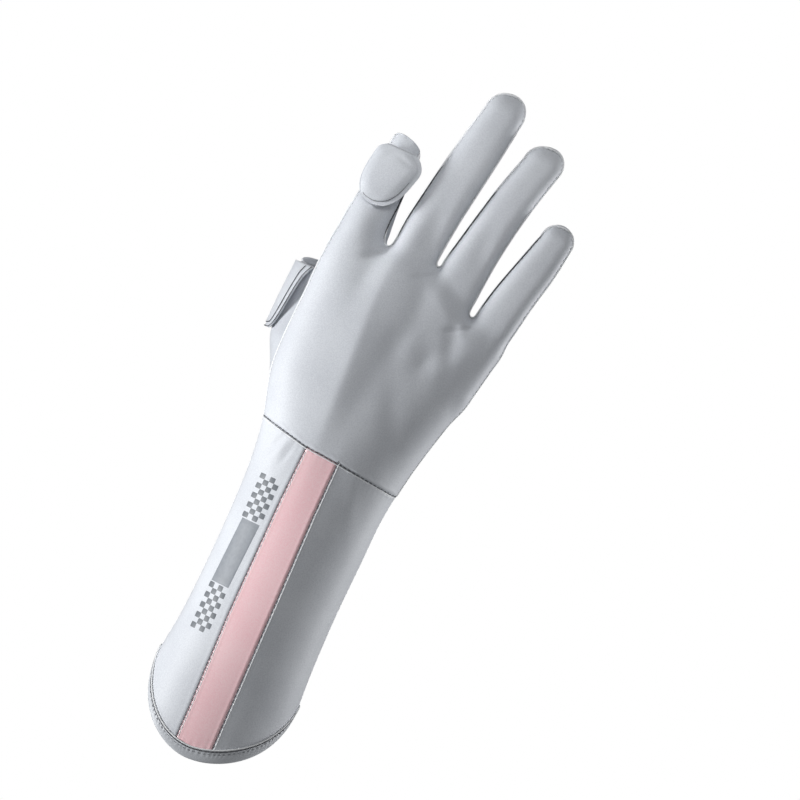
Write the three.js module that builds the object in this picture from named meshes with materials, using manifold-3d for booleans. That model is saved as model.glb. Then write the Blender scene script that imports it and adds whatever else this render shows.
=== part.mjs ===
// A sun glove for the right hand, worn: a long cuff with a stripe, and two flip-back fingertip caps.
// Millimetres. X runs to the little finger's side, Y to the palm, Z up the arm to the fingertips.
// The origin is the centre of the cuff's mouth, level with the cuff's lowest edge.
import * as THREE from "three";
import { mergeVertices } from "three/addons/utils/BufferGeometryUtils.js";
import Module from "manifold-3d";

const wasm = await Module();
wasm.setup();

// Driving dimensions
const CLOTH = 1.3; // thickness of the cloth wall
const GAP = 0.3; // clearance between neighbouring pieces
const SIDES = 28; // points round the cuff and the palm
const FINGER_SIDES = 18;
const FAR = 90; // reach of a cutter to each side of the glove
const HIGH = 330; // height of a cutter past the fingertips
const BELOW = -20; // where the hollow runs out below the cuff
const TIP_ANGLES = [25, 50, 72, 89]; // rings of a rounded fingertip, in degrees from its base

// The cuff's end on the back of the arm: how far it rises to the side seams, and its lowest place,
// in degrees round the cuff, where 270 is the middle of the back, 180 the thumb's side, 360 the
// little finger's side and 90 the middle of the palm side
const TONGUE = { rise: 35, low: 265.4, power: 1.75 };
// The binding round the tongue: its width on each side of the back, where it changes from one to the
// other, how far it stands proud and how much of its width is lost at the side seams
const BAND = { thumb: 3.9, little: 5.8, from: 235, to: 305, proud: 0.4, taper: 0.7 };
const PALM_HEM = { side: 35.3, middle: 40 }; // height of the cuff's end on the palm side
// Outline of the cuff's end, and the shares of it where the cutter for the end starts and stops
const MOUTH = { left: -33, right: 29.2, back: -25, front: 25, middle: 0 };
const MOUTH_CUT = { outside: 1.5, inside: 0.4 };
const WEB_BASE = 200; // the palm is stretched to the webs above this height
const WEB_TOP = 224; // height of the last row of the palm's sections
const WEB_STEPS = [0.35, 0.65, 0.85, 0.96, 1];
const SEAM_STEPS = { from: 150, coarse: 30, fine: 8 }; // spacing of the side seam's points
const FLAP = { wall: 0.8, wrap: 0.011, lift: 0.5, out: 6 };
const GRIP = { thick: 0.8, lift: 0.3, from: 4 };

// Sections of the cuff and palm: the height, the thumb's edge, the little finger's edge, the depth
// of the back and of the palm, and the squareness of the outline.
const BODY = [
  { z: -8, left: -33.8, right: 30.0, back: -25.0, front: 25.0, square: 2.1 },
  { z: 18, left: -33.2, right: 29.4, back: -25.0, front: 25.0, square: 2.1 },
  { z: 35, left: -32.6, right: 28.9, back: -24.8, front: 24.8, square: 2.1 },
  { z: 52, left: -30.9, right: 27.9, back: -24.4, front: 24.4, square: 2.1 },
  { z: 76, left: -30.0, right: 27.4, back: -23.6, front: 23.8, square: 2.1 },
  { z: 100, left: -30.0, right: 27.9, back: -22.6, front: 23.0, square: 2.1 },
  { z: 120, left: -30.8, right: 28.4, back: -21.4, front: 21.8, square: 2.15 },
  { z: 138, left: -33.2, right: 30.8, back: -20.3, front: 20.6, square: 2.2 },
  { z: 148, left: -36.0, right: 32.7, back: -19.8, front: 20.2, square: 2.25 },
  { z: 159, left: -38.7, right: 35.2, back: -19.3, front: 19.8, square: 2.35 },
  { z: 170, left: -39.4, right: 38.0, back: -18.7, front: 19.0, square: 2.4 },
  { z: 182, left: -39.3, right: 40.8, back: -17.9, front: 16.8, square: 2.45 },
  { z: 194, left: -38.9, right: 42.9, back: -16.6, front: 14.0, square: 2.5 },
  { z: 206, left: -38.6, right: 45.2, back: -14.6, front: 12.0, square: 2.5 },
  { z: 224, left: -36.6, right: 44.6, back: -11.2, front: 9.4, square: 2.4 },
];

// The line of the webs between the fingers, from the thumb's side to the little finger's side
const WEBS = [
  { x: -40, z: 222.5 },
  { x: -16, z: 222.5 },
  { x: 6.3, z: 222.5 },
  { x: 28.1, z: 209.5 },
  { x: 46, z: 206.5 },
];

// Depth of the side seams, which follow the hand and then the slight curl of the fingers
const SEAM_DEPTH = [
  { z: 0, y: 0 },
  { z: 150, y: 0 },
  { z: 200, y: -1.6 },
  { z: 225, y: -0.6 },
  { z: 250, y: 2.2 },
  { z: 275, y: 6.2 },
  { z: 303, y: 12.5 },
];

// Sections of the fingers: the height, the two edges and the half depth. The last row is where the
// rounding of the tip starts.
const FINGERS = {
  index: {
    tip: { x: -26, z: 290 },
    rows: [
      { z: 194, left: -36.0, right: -15.0, half: 8.6 },
      { z: 212, left: -37.9, right: -15.6, half: 9.3 },
      { z: 226, left: -37.5, right: -16.6, half: 9.3 },
      { z: 238, left: -36.2, right: -17.9, half: 8.8 },
      { z: 252, left: -34.2, right: -18.6, half: 7.9 },
      { z: 266, left: -32.6, right: -19.2, half: 7.0 },
      { z: 284, left: -31.6, right: -20.2, half: 6.4 },
    ],
  },
  middle: {
    tip: { x: 6.2, z: 302.9 },
    rows: [
      { z: 194, left: -14.5, right: 5.0, half: 8.8 },
      { z: 212, left: -14.9, right: 5.2, half: 9.6 },
      { z: 228, left: -14.0, right: 5.4, half: 9.6 },
      { z: 243, left: -12.1, right: 7.0, half: 9.4 },
      { z: 258, left: -9.9, right: 9.0, half: 9.2 },
      { z: 273, left: -7.3, right: 11.2, half: 9.1 },
      { z: 293.4, left: -3.0, right: 13.9, half: 8.4 },
    ],
  },
  ring: {
    tip: { x: 30.0, z: 289.2 },
    rows: [
      { z: 192, left: 6.6, right: 25.0, half: 8.4 },
      { z: 208, left: 6.8, right: 25.2, half: 9.2 },
      { z: 224, left: 7.8, right: 25.8, half: 9.2 },
      { z: 238, left: 10.4, right: 27.0, half: 8.8 },
      { z: 252, left: 13.0, right: 29.4, half: 8.5 },
      { z: 266, left: 16.2, right: 32.9, half: 8.2 },
      { z: 280.7, left: 20.4, right: 37.0, half: 7.6 },
    ],
  },
  little: {
    tip: { x: 47.0, z: 261.4 },
    rows: [
      { z: 182, left: 26.4, right: 40.2, half: 7.6 },
      { z: 197, left: 27.4, right: 43.4, half: 8.4 },
      { z: 211, left: 29.2, right: 46.2, half: 8.5 },
      { z: 225, left: 32.4, right: 48.7, half: 8.2 },
      { z: 240, left: 36.2, right: 51.9, half: 7.8 },
      { z: 253.8, left: 39.8, right: 53.8, half: 7.0 },
    ],
  },
};

// Sections of the thumb: it starts in the heel of the palm and stands behind the palm's edge
const THUMB = [
  { z: 136, left: -30.0, right: -6.0, back: -1.0, front: 17.0 },
  { z: 148, left: -36.0, right: -6.5, back: -2.0, front: 23.5 },
  { z: 160, left: -40.6, right: -11.0, back: 0.5, front: 27.6 },
  { z: 172, left: -44.8, right: -17.0, back: 5.0, front: 30.6 },
  { z: 183, left: -45.2, right: -21.0, back: 9.5, front: 32.8 },
  { z: 194, left: -45.5, right: -24.0, back: 13.4, front: 34.6 },
  { z: 205, left: -46.6, right: -26.6, back: 17.0, front: 36.8 },
  { z: 222, left: -47.8, right: -29.0, back: 21.8, front: 40.6 },
];

// The open ends of the two short tubes: a place on each, and how the rim leans across and back
const THUMB_RIM = { x: -36, y: 27, z: 205, reach: 18, lean: 0, back: 0.22 };
const INDEX_RIM = { x: -25.7, y: 4.4, z: 263.3, reach: 11, lean: -0.28, back: -0.64 };

// Outlines of the two turned-back caps, seen from outside: the height, the two edges and how thick
// the flattened pocket is there
const INDEX_FLAP = [
  { z: 236.8, left: -29.2, right: -26.8, thick: 1.9 },
  { z: 237.6, left: -33.2, right: -24.2, thick: 2.6 },
  { z: 240.0, left: -35.8, right: -21.3, thick: 3.6 },
  { z: 244.0, left: -37.5, right: -18.7, thick: 4.4 },
  { z: 250.0, left: -37.7, right: -16.7, thick: 4.8 },
  { z: 256.0, left: -36.9, right: -15.5, thick: 4.6 },
  { z: 260.0, left: -35.8, right: -17.4, thick: 3.8 },
  { z: 262.2, left: -32.6, right: -20.4, thick: 3.0 },
];
const THUMB_FLAP = [
  { z: 173.6, left: -26.2, right: -23.4, thick: 1.9 },
  { z: 174.6, left: -30.0, right: -19.6, thick: 2.6 },
  { z: 178.0, left: -33.2, right: -16.8, thick: 3.8 },
  { z: 184.0, left: -35.2, right: -15.4, thick: 4.2 },
  { z: 192.0, left: -36.4, right: -15.6, thick: 3.8 },
  { z: 199.0, left: -36.8, right: -17.4, thick: 3.0 },
  { z: 203.6, left: -35.4, right: -20.0, thick: 2.4 },
];
// How far out the outer face of the thumb's cap stands at each height
const THUMB_FLAP_FACE = [
  { z: 173, x: -49.8 },
  { z: 185, x: -49.8 },
  { z: 196, x: -49.6 },
  { z: 204, x: -49.4 },
];

// The seam between the hand and the cuff, and the stripe's two seams, seen from the back of the hand
const WRIST_SEAM = [[-FAR, 146.3], [-34, 139.3], [-12, 135], [3, 133.9], [34, 130.5], [FAR, 125]];
const STRIPE_LEFT = [[-11.2, -10], [-11.5, 20], [-12.6, 60], [-12.5, 110], [-11.4, 145]];
const STRIPE_RIGHT = [[4.4, -10], [3.8, 20], [3.1, 60], [2.3, 110], [2.5, 145]];
const STRIPE_TOP = 145;

// Outlines of the grip patches on the palm, seen from the back of the hand
const GRIPS = {
  grip_ring: [
    [11.5, 181], [17.5, 180.5], [20.5, 185], [20.5, 196], [17, 201], [12, 200.5], [9.5, 195], [9.5, 186],
  ],
  grip_little: [
    [26, 177.5], [32, 176.5], [35.5, 181], [36.5, 192], [33.5, 196.5], [28, 196.5], [25, 191], [24, 182],
  ],
  grip_heel: [[3, 134], [8, 131.5], [22.5, 132], [25.5, 136], [32, 163], [31, 168], [27, 168.5]],
  grip_strip_lower: [[-8.4, 142.2], [-4.6, 138.6], [3, 147.2], [-0.8, 150.8]],
  grip_strip_upper: [[13.4, 166.2], [17.2, 162.6], [24.8, 171.2], [21, 174.8]],
};

const COLOURS = {
  cloth: { color: 0xc9ccd1, roughness: 0.62, metalness: 0 },
  shade: { color: 0xb9bdc4, roughness: 0.62, metalness: 0 },
  pink: { color: 0xe8c8cd, roughness: 0.6, metalness: 0 },
  band: { color: 0xa9aeb6, roughness: 0.6, metalness: 0 },
  grip: { color: 0xd6d8dd, roughness: 0.35, metalness: 0 },
};

// Value of one column of a table at a height, along a smooth curve through the rows
function along(rows, key, z) {
  const last = rows.length - 1;
  let i = 0;
  while (i < last - 1 && z > rows[i + 1].z) i++;
  const slope = (a, b) => (rows[b][key] - rows[a][key]) / (rows[b].z - rows[a].z);
  const span = rows[i + 1].z - rows[i].z;
  const t = (z - rows[i].z) / span;
  const here = slope(i, i + 1);
  const m0 = i > 0 ? slope(i - 1, i + 1) : here;
  const m1 = i + 1 < last ? slope(i, i + 2) : here;
  if (t <= 0) return rows[i][key] + m0 * (z - rows[i].z);
  if (t >= 1) return rows[i + 1][key] + m1 * (z - rows[i + 1].z);
  const rise = rows[i + 1][key] - rows[i][key];
  const bend = (m0 * span - rise) * (1 - t) - (m1 * span - rise) * t;
  return rows[i][key] + rise * t + t * (1 - t) * bend;
}

const seamDepth = (z) => along(SEAM_DEPTH, "y", Math.max(0, z));

// Height of a line of points at a place across the glove
function between(line, x) {
  const i = Math.max(1, line.findIndex((p, k) => k > 0 && (x <= p.x || k === line.length - 1)));
  const t = THREE.MathUtils.clamp((x - line[i - 1].x) / (line[i].x - line[i - 1].x), 0, 1);
  return THREE.MathUtils.lerp(line[i - 1].z, line[i].z, t);
}

// A closed outline at one height: rounded between its edges, with its own depth on each side
function ring({ left, right, back, front, middle, square = 2 }, z, sides) {
  const points = [];
  for (let k = 0; k < sides; k++) {
    const angle = (2 * Math.PI * k) / sides;
    const c = Math.cos(angle);
    const s = Math.sin(angle);
    const bow = (v) => Math.sign(v) * Math.abs(v) ** (2 / square);
    const depth = s > 0 ? front - middle : middle - back;
    points.push([(left + right) / 2 + ((right - left) / 2) * bow(c), middle + depth * bow(s), z]);
  }
  return points;
}

const shrunkToPoint = (points) => {
  const mean = [0, 1, 2].map((i) => points.reduce((sum, p) => sum + p[i], 0) / points.length);
  return points.map(() => mean);
};

// A closed body through rings that have equal numbers of points, with flat ends
function loft(rings) {
  const sides = rings[0].length;
  const all = [shrunkToPoint(rings[0]), ...rings, shrunkToPoint(rings.at(-1))];
  const index = [];
  for (let i = 0; i + 1 < all.length; i++) {
    for (let k = 0; k < sides; k++) {
      const a = i * sides + k;
      const b = i * sides + ((k + 1) % sides);
      index.push(a, b, b + sides, a, b + sides, a + sides);
    }
  }
  const geometry = new THREE.BufferGeometry();
  geometry.setAttribute("position", new THREE.Float32BufferAttribute(all.flat(2), 3));
  geometry.setIndex(index);
  return solid(geometry);
}

// A three.js geometry as a solid that can be cut and joined
function solid(geometry) {
  const bare = geometry.clone();
  bare.deleteAttribute("normal");
  bare.deleteAttribute("uv");
  const merged = mergeVertices(bare, 1e-3);
  const source = merged.index.array;
  const faces = [];
  for (let i = 0; i < source.length; i += 3) {
    const [a, b, c] = [source[i], source[i + 1], source[i + 2]];
    if (a !== b && b !== c && a !== c) faces.push(a, b, c);
  }
  const vertProperties = new Float32Array(merged.attributes.position.array);
  const triVerts = new Uint32Array(faces);
  return new wasm.Manifold(new wasm.Mesh({ numProp: 3, vertProperties, triVerts }));
}

// A flat outline pushed out to a depth and then placed
function pushed(outline, depth, basis) {
  const shape = new THREE.Shape(outline.map(([u, v]) => new THREE.Vector2(u, v)));
  const geometry = new THREE.ExtrudeGeometry(shape, { depth, bevelEnabled: false, curveSegments: 1 });
  return solid(geometry.applyMatrix4(basis));
}

// A cutter with an outline seen from the back of the hand, [x, z], from one depth to another
function frontCutter(outline, from, to) {
  const basis = new THREE.Matrix4().makeRotationX(Math.PI / 2).setPosition(0, to, 0);
  return pushed(outline, to - from, basis);
}

// A cutter with an outline seen from the side, [y, z], right across the glove
function sideCutter(outline) {
  const [across, back, up] = [[1, 0, 0], [0, 1, 0], [0, 0, 1]].map((v) => new THREE.Vector3(...v));
  const basis = new THREE.Matrix4().makeBasis(back, up, across).setPosition(-FAR, 0, 0);
  return pushed(outline, 2 * FAR, basis);
}

const join = (solids) => solids.reduce((all, one) => all.add(one));

// The cuff and the palm, up to the webs, where the last ring is pressed flat. An inset makes the
// hollow, which runs out below the cuff, and a negative inset makes a sleeve round the outside.
function body(inset) {
  const rings = [];
  const row = (z) => {
    const read = (key) => along(BODY, key, z);
    return {
      left: read("left") + inset,
      right: read("right") - inset,
      back: read("back") + inset,
      front: read("front") - inset,
      middle: seamDepth(z),
      square: read("square"),
    };
  };
  const levels = [...BODY.map(({ z }) => z).filter((z) => z < WEB_BASE), WEB_BASE];
  for (const z of levels) rings.push(ring(row(z), z, SIDES));
  for (const t of WEB_STEPS) {
    const top = row(THREE.MathUtils.lerp(WEB_BASE, WEB_TOP, t));
    const flat = Math.sqrt(1 - t ** 6);
    top.back = top.middle + (top.back - top.middle) * flat;
    top.front = top.middle + (top.front - top.middle) * flat;
    const outline = ring(top, 0, SIDES);
    const height = (x) => WEB_BASE + t * (between(WEBS, x) - inset - WEB_BASE);
    rings.push(outline.map(([x, y]) => [x, y, height(x)]));
  }
  const bottom = inset > 0 ? [ring(row(levels[0]), BELOW, SIDES)] : [];
  const edge = rings.pop();
  const pressed = edge.map(([x, , z], k) => {
    const twin = edge[(SIDES - k) % SIDES];
    return [(x + twin[0]) / 2, seamDepth(WEB_BASE), (z + twin[2]) / 2];
  });
  return loft([...bottom, ...rings, pressed]);
}

// A finger with a rounded tip
function finger({ tip, rows }, inset) {
  const rings = [];
  const start = rows.at(-1).z;
  const row = (z) => {
    const read = (key) => along(rows, key, z);
    return { left: read("left") + inset, right: read("right") - inset, half: read("half") - inset };
  };
  const placed = ({ left, right, half }, z) => {
    const middle = seamDepth(z);
    return ring({ left, right, back: middle - half, front: middle + half, middle }, z, FINGER_SIDES);
  };
  for (const { z } of rows) rings.push(placed(row(z), z));
  const height = tip.z - inset - start;
  const last = row(start);
  for (const angle of TIP_ANGLES) {
    const up = Math.sin(THREE.MathUtils.degToRad(angle));
    const share = Math.cos(THREE.MathUtils.degToRad(angle));
    const middle = THREE.MathUtils.lerp((last.left + last.right) / 2, tip.x, up * up);
    const reach = ((last.right - last.left) / 2) * share;
    const edges = { left: middle - reach, right: middle + reach, half: last.half * share };
    rings.push(placed(edges, start + up * height));
  }
  return loft(rings);
}

function thumbBody(inset) {
  const rings = THUMB.map(({ z, left, right, back, front }) => {
    const row = { left: left + inset, right: right - inset, back: back + inset, front: front - inset };
    return ring({ ...row, middle: (back + front) / 2, square: 2.1 }, z, FINGER_SIDES + 2);
  });
  return loft(rings);
}

// A turned-back cap, seen from outside and facing back: a flattened pocket that bends round what it
// lies on. face(z) gives the depth of its outer face. A cap with an inset is the hollow, which runs
// out at the top.
function cap(rows, face, inset) {
  const levels = inset > 0 ? [...rows, { ...rows.at(-1), z: rows.at(-1).z + FLAP.out }] : rows;
  const rings = levels.map(({ z, left, right, thick }, i) => {
    const narrow = Math.min(inset, (right - left) / 2 - 0.2);
    const half = thick / 2 - inset;
    const edges = { left: left + narrow, right: right - narrow, back: -half, front: half };
    const height = i === 0 ? z + inset : z;
    const outline = ring({ ...edges, middle: 0, square: 2.4 }, height, FINGER_SIDES);
    const centre = (left + right) / 2;
    const bend = (u) => face(z) + thick / 2 + FLAP.wrap * (u - centre) ** 2;
    return outline.map(([u, v]) => [u, v + bend(u), height]);
  });
  return loft(rings);
}

const pocket = (rows, face) => cap(rows, face, 0).subtract(cap(rows, face, FLAP.wall));

// Where a place round the cuff lies between the tongue's lowest place, 0, and a side seam, 1
function turnFromLow(degrees) {
  const off = degrees - TONGUE.low;
  return Math.abs(off) / (off < 0 ? TONGUE.low - 180 : 360 - TONGUE.low);
}

function cuffEnd(degrees) {
  const palmSide = PALM_HEM.middle - PALM_HEM.side;
  if (degrees < 180) return PALM_HEM.side + palmSide * Math.sin(THREE.MathUtils.degToRad(degrees));
  return TONGUE.rise * turnFromLow(degrees) ** TONGUE.power;
}

function bandEnd(degrees) {
  if (degrees < 180) return cuffEnd(degrees);
  const share = THREE.MathUtils.smoothstep(degrees, BAND.from, BAND.to);
  const width = THREE.MathUtils.lerp(BAND.thumb, BAND.little, share);
  return cuffEnd(degrees) + width * (1 - BAND.taper * turnFromLow(degrees) ** 6);
}

// A cutter that takes away all that lies below an edge, which has its own height all round
function belowEdge(edge, lift) {
  const steps = 2 * SIDES;
  const round = ring(MOUTH, 0, steps);
  const sized = (size, height) =>
    round.map(([x, y], k) => [x * size, y * size, height((360 * k) / steps)]);
  const raised = (degrees) => edge(degrees) + lift;
  const floor = sized(MOUTH_CUT.outside, () => -FAR);
  return loft([floor, sized(MOUTH_CUT.outside, raised), sized(MOUTH_CUT.inside, raised)]);
}

// Outlines of cutters that end along a line of points, which they are shifted away from
const shifted = (line, across, up) => line.map(([x, z]) => [x + across, z + up]);
const aboveLine = (line, lift) => [...shifted(line, 0, lift), [FAR, HIGH], [-FAR, HIGH]];
const belowLine = (line, drop) => [[-FAR, -FAR], [FAR, -FAR], ...shifted(line, 0, -drop).reverse()];
const leftOfLine = (line, shift) => [[-FAR, line[0][1]], ...shifted(line, shift, 0), [-FAR, STRIPE_TOP]];

// A block that cuts a tube off along a leaning plane
function aboveRim({ x, y, z, reach, lean, back }) {
  const corners = [[-reach, -reach], [reach, -reach], [reach, reach], [-reach, reach]];
  const bottom = corners.map(([u, v]) => [x + u, y + v, z + lean * u + back * v]);
  const top = corners.map(([u, v]) => [x + u, y + v, HIGH]);
  return loft([bottom, top]);
}

// The side seams part the back from the palm, and the wrist seam parts the hand from the cuff
const seamPoints = [];
let height = -FAR;
while (height <= HIGH) {
  seamPoints.push([seamDepth(height), height]);
  height += height < SEAM_STEPS.from ? SEAM_STEPS.coarse : SEAM_STEPS.fine;
}
const backLine = shifted(seamPoints, -GAP / 2, 0);
const palmLine = shifted(seamPoints, GAP / 2, 0);
const backHalf = sideCutter([...backLine, [-FAR, HIGH], [-FAR, -FAR]].reverse());
const palmHalf = sideCutter([...palmLine, [FAR, HIGH], [FAR, -FAR]]);
const aboveWrist = frontCutter(aboveLine(WRIST_SEAM, GAP / 2), -FAR, FAR);
const belowWrist = frontCutter(belowLine(WRIST_SEAM, GAP / 2), -FAR, FAR);

// The whole cloth wall, with the index finger's tube open at its end
const fingers = Object.values(FINGERS);
const outer = join([body(0), ...fingers.map((one) => finger(one, 0))]);
const inner = join([body(CLOTH), ...fingers.map((one) => finger(one, CLOTH))]);
const openTip = { ...FINGERS.index.tip, z: FINGERS.index.tip.z + 2 * CLOTH };
const indexHollow = finger({ ...FINGERS.index, tip: openTip }, CLOTH);
const shell = outer.subtract(inner).subtract(indexHollow).subtract(aboveRim(INDEX_RIM));

// The back of the glove, with the cuff's panels cut along the stripe's seams
const backShell = shell.intersect(backHalf);
const cuffBack = backShell.intersect(belowWrist).subtract(belowEdge(bandEnd, GAP));
const leftCut = frontCutter(leftOfLine(STRIPE_LEFT, -GAP / 2), -FAR, FAR);
const leftCutWide = frontCutter(leftOfLine(STRIPE_LEFT, GAP / 2), -FAR, FAR);
const rightCut = frontCutter(leftOfLine(STRIPE_RIGHT, -GAP / 2), -FAR, FAR);
const rightCutWide = frontCutter(leftOfLine(STRIPE_RIGHT, GAP / 2), -FAR, FAR);

const bandShell = body(-BAND.proud).subtract(body(CLOTH + BAND.proud)).intersect(backHalf);
const binding = bandShell.subtract(belowEdge(cuffEnd, 0)).intersect(belowEdge(bandEnd, 0));

// The palm has a hole where the thumb goes in, and the thumb's tube starts at the palm's outside
const thumbInner = thumbBody(CLOTH);
const thumb = thumbBody(0).subtract(thumbInner).subtract(body(-GAP)).subtract(aboveRim(THUMB_RIM));
const palm = shell.intersect(palmHalf).subtract(belowEdge(cuffEnd, 0)).subtract(thumbInner);

const gripSkin = body(-GRIP.lift - GRIP.thick).subtract(body(-GRIP.lift));
const fingerBack = (z) => seamDepth(z) - along(FINGERS.index.rows, "half", z);
const indexFlapFace = (z) => fingerBack(z) - FLAP.lift - along(INDEX_FLAP, "thick", z);
const thumbFlapFace = (z) => along(THUMB_FLAP_FACE, "x", z);

const glove = new THREE.Group();

function add(name, cut, look) {
  const { vertProperties, triVerts } = cut.getMesh();
  const geometry = new THREE.BufferGeometry();
  geometry.setAttribute("position", new THREE.BufferAttribute(vertProperties, 3));
  geometry.setIndex(new THREE.BufferAttribute(triVerts, 1));
  const mesh = new THREE.Mesh(geometry.toNonIndexed(), new THREE.MeshStandardMaterial(look));
  mesh.geometry.computeVertexNormals();
  mesh.name = name;
  glove.add(mesh);
  return mesh;
}

add("hand_back", backShell.intersect(aboveWrist), COLOURS.shade);
add("palm", palm, COLOURS.cloth);
add("thumb", thumb, COLOURS.cloth);
add("index_flap", pocket(INDEX_FLAP, indexFlapFace), COLOURS.cloth);
add("thumb_flap", pocket(THUMB_FLAP, thumbFlapFace), COLOURS.cloth).rotation.z = -Math.PI / 2;
add("cuff_thumb_side", cuffBack.intersect(leftCut), COLOURS.cloth);
add("cuff_stripe", cuffBack.intersect(rightCut).subtract(leftCutWide), COLOURS.pink);
add("cuff_little_side", cuffBack.subtract(rightCutWide), COLOURS.shade);
add("hem_binding", binding, COLOURS.band);
for (const [name, outline] of Object.entries(GRIPS)) {
  add(name, gripSkin.intersect(frontCutter(outline, GRIP.from, FAR)), COLOURS.grip);
}

export default glove;
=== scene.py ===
import math

import bpy
import numpy as np
from mathutils import Matrix, Vector


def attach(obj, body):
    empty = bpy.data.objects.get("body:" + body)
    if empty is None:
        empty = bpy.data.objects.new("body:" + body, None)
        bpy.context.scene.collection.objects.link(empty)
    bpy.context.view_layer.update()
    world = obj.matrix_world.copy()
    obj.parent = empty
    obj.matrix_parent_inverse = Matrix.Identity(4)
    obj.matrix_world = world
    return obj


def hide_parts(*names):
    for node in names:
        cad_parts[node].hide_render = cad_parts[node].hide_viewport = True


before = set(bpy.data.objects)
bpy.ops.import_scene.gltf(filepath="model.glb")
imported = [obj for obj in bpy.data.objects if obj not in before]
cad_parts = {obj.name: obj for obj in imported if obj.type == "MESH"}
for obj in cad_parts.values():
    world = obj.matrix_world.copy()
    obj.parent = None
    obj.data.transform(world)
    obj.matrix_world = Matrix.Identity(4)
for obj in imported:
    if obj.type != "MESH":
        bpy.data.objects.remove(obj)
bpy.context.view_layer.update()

# A right-hand sun glove in its worn form. The tables are in millimetres, in the frame of the CAD
# model: X runs to the little finger's side, Y to the palm and Z up the cuff to the fingertips. Meshes
# are turned into metres when they are made.
MM = 0.001


def table(columns, *rows):
    """Rows of values under the names of their columns. The last columns may be left out of a row."""
    return [dict(zip(columns.split(), row)) for row in rows]


# How the photograph frames the glove: its breadth in pixels, pixels to a millimetre, its lean to
# the right in degrees, the pixel where the origin lies, the lens and its sensor, and the depth of the
# plane that the scale is true in
PHOTO = dict(size=800, scale=2.44, lean=24.4, origin=(197.4, 758.6), lens=200, sensor=36, plane=-8)

# Sections of the cuff and palm: the height, the thumb's edge, the little finger's edge, the depth of
# the back and of the palm, and the squareness of the outline
BODY = table(
    "z left right back front square",
    (-8, -33.8, 30.0, -25.0, 25.0, 2.1),
    (18, -33.2, 29.4, -25.0, 25.0, 2.1),
    (35, -32.6, 28.9, -24.8, 24.8, 2.1),
    (52, -30.9, 27.9, -24.4, 24.4, 2.1),
    (76, -30.0, 27.4, -23.6, 23.8, 2.1),
    (100, -30.0, 27.9, -22.6, 23.0, 2.1),
    (120, -30.8, 28.4, -21.4, 21.8, 2.15),
    (138, -33.2, 30.8, -20.3, 20.6, 2.2),
    (148, -36.0, 32.7, -19.8, 20.2, 2.25),
    (159, -38.7, 35.2, -19.3, 19.8, 2.35),
    (170, -39.4, 38.0, -18.7, 19.0, 2.4),
    (182, -39.3, 40.8, -17.9, 16.8, 2.45),
    (194, -38.9, 42.9, -16.6, 14.0, 2.5),
    (206, -38.6, 45.2, -14.6, 12.0, 2.5),
    (224, -36.6, 44.6, -11.2, 9.4, 2.4),
)

# The line of the webs between the fingers, as (x, z), the highest section of the palm that is read
# and the round edge between the palm and the webs
WEBS = [(-40, 222.5), (-16, 222.5), (6.3, 222.5), (28.1, 209.5), (46, 206.5)]
WEB_TOP = 230
WEB_ROUND = 9.0

# Depth of the side seams, which follow the palm and then the slight curl of the fingers
SEAM_DEPTH = table(
    "z y",
    (0, 0.0),
    (150, 0.0),
    (200, -1.6),
    (225, -0.6),
    (250, 2.2),
    (275, 6.2),
    (303, 12.5),
)

# The side seams lie this much further to the back on the fingers, reached between these heights
SEAM_TURN = {"by": 3.6, "from": 165, "to": 222}

# Sections of the fingers: the height, the two edges and the half depth. The last row is where the
# rounding of the tip starts. The back of a finger is squarer than its palm side.
FINGERS = {
    "index": dict(tip=(-26.0, 290.0), back_square=2.6, rows=table(
        "z left right half",
        (194, -36.0, -15.0, 8.6),
        (212, -37.9, -15.6, 9.3),
        (226, -37.5, -16.6, 9.3),
        (238, -36.2, -17.9, 8.8),
        (252, -34.2, -18.6, 7.9),
        (266, -32.6, -19.2, 7.0),
        (284, -31.6, -20.2, 6.4),
    )),
    "middle": dict(tip=(6.2, 302.9), back_square=3.1, rows=table(
        "z left right half",
        (194, -14.5, 5.0, 8.8),
        (212, -14.9, 5.9, 9.6),
        (228, -14.2, 6.0, 9.6),
        (243, -12.1, 7.0, 9.4),
        (258, -9.9, 9.0, 9.2),
        (273, -7.3, 11.2, 9.1),
        (293.4, -3.0, 13.9, 8.4),
    )),
    "ring": dict(tip=(30.0, 289.2), back_square=3.3, rows=table(
        "z left right half",
        (192, 6.6, 25.0, 8.4),
        (208, 6.1, 26.2, 9.2),
        (224, 7.0, 27.2, 9.2),
        (238, 10.0, 28.2, 8.8),
        (252, 13.0, 30.2, 8.5),
        (266, 16.2, 33.2, 8.2),
        (280.7, 20.4, 37.0, 7.6),
    )),
    "little": dict(tip=(47.0, 261.4), back_square=3.3, rows=table(
        "z left right half",
        (182, 26.4, 40.2, 7.6),
        (197, 27.4, 43.4, 8.4),
        (211, 28.2, 46.2, 8.5),
        (225, 31.3, 48.7, 8.2),
        (240, 35.7, 51.9, 7.8),
        (253.8, 39.8, 53.8, 7.0),
    )),
}
PALM_SQUARE = 2.3

# Sections of the thumb, which starts in the heel of the palm and stands behind the palm's edge
THUMB = table(
    "z left right back front",
    (136, -30.0, -6.0, -1.0, 17.0),
    (148, -36.0, -6.5, -2.0, 23.5),
    (160, -40.6, -11.0, 0.5, 27.6),
    (172, -45.9, -17.0, 5.0, 30.6),
    (183, -46.5, -21.0, 9.5, 32.8),
    (194, -46.3, -24.0, 13.4, 34.6),
    (205, -46.6, -26.6, 17.0, 36.8),
    (222, -47.8, -29.0, 21.8, 40.6),
)
THUMB_SQUARE = 2.1

# How far the lower ends of the fingers and of the thumb take to fade into the palm
FOOT = dict(finger=12.0, thumb=6.0)

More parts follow.
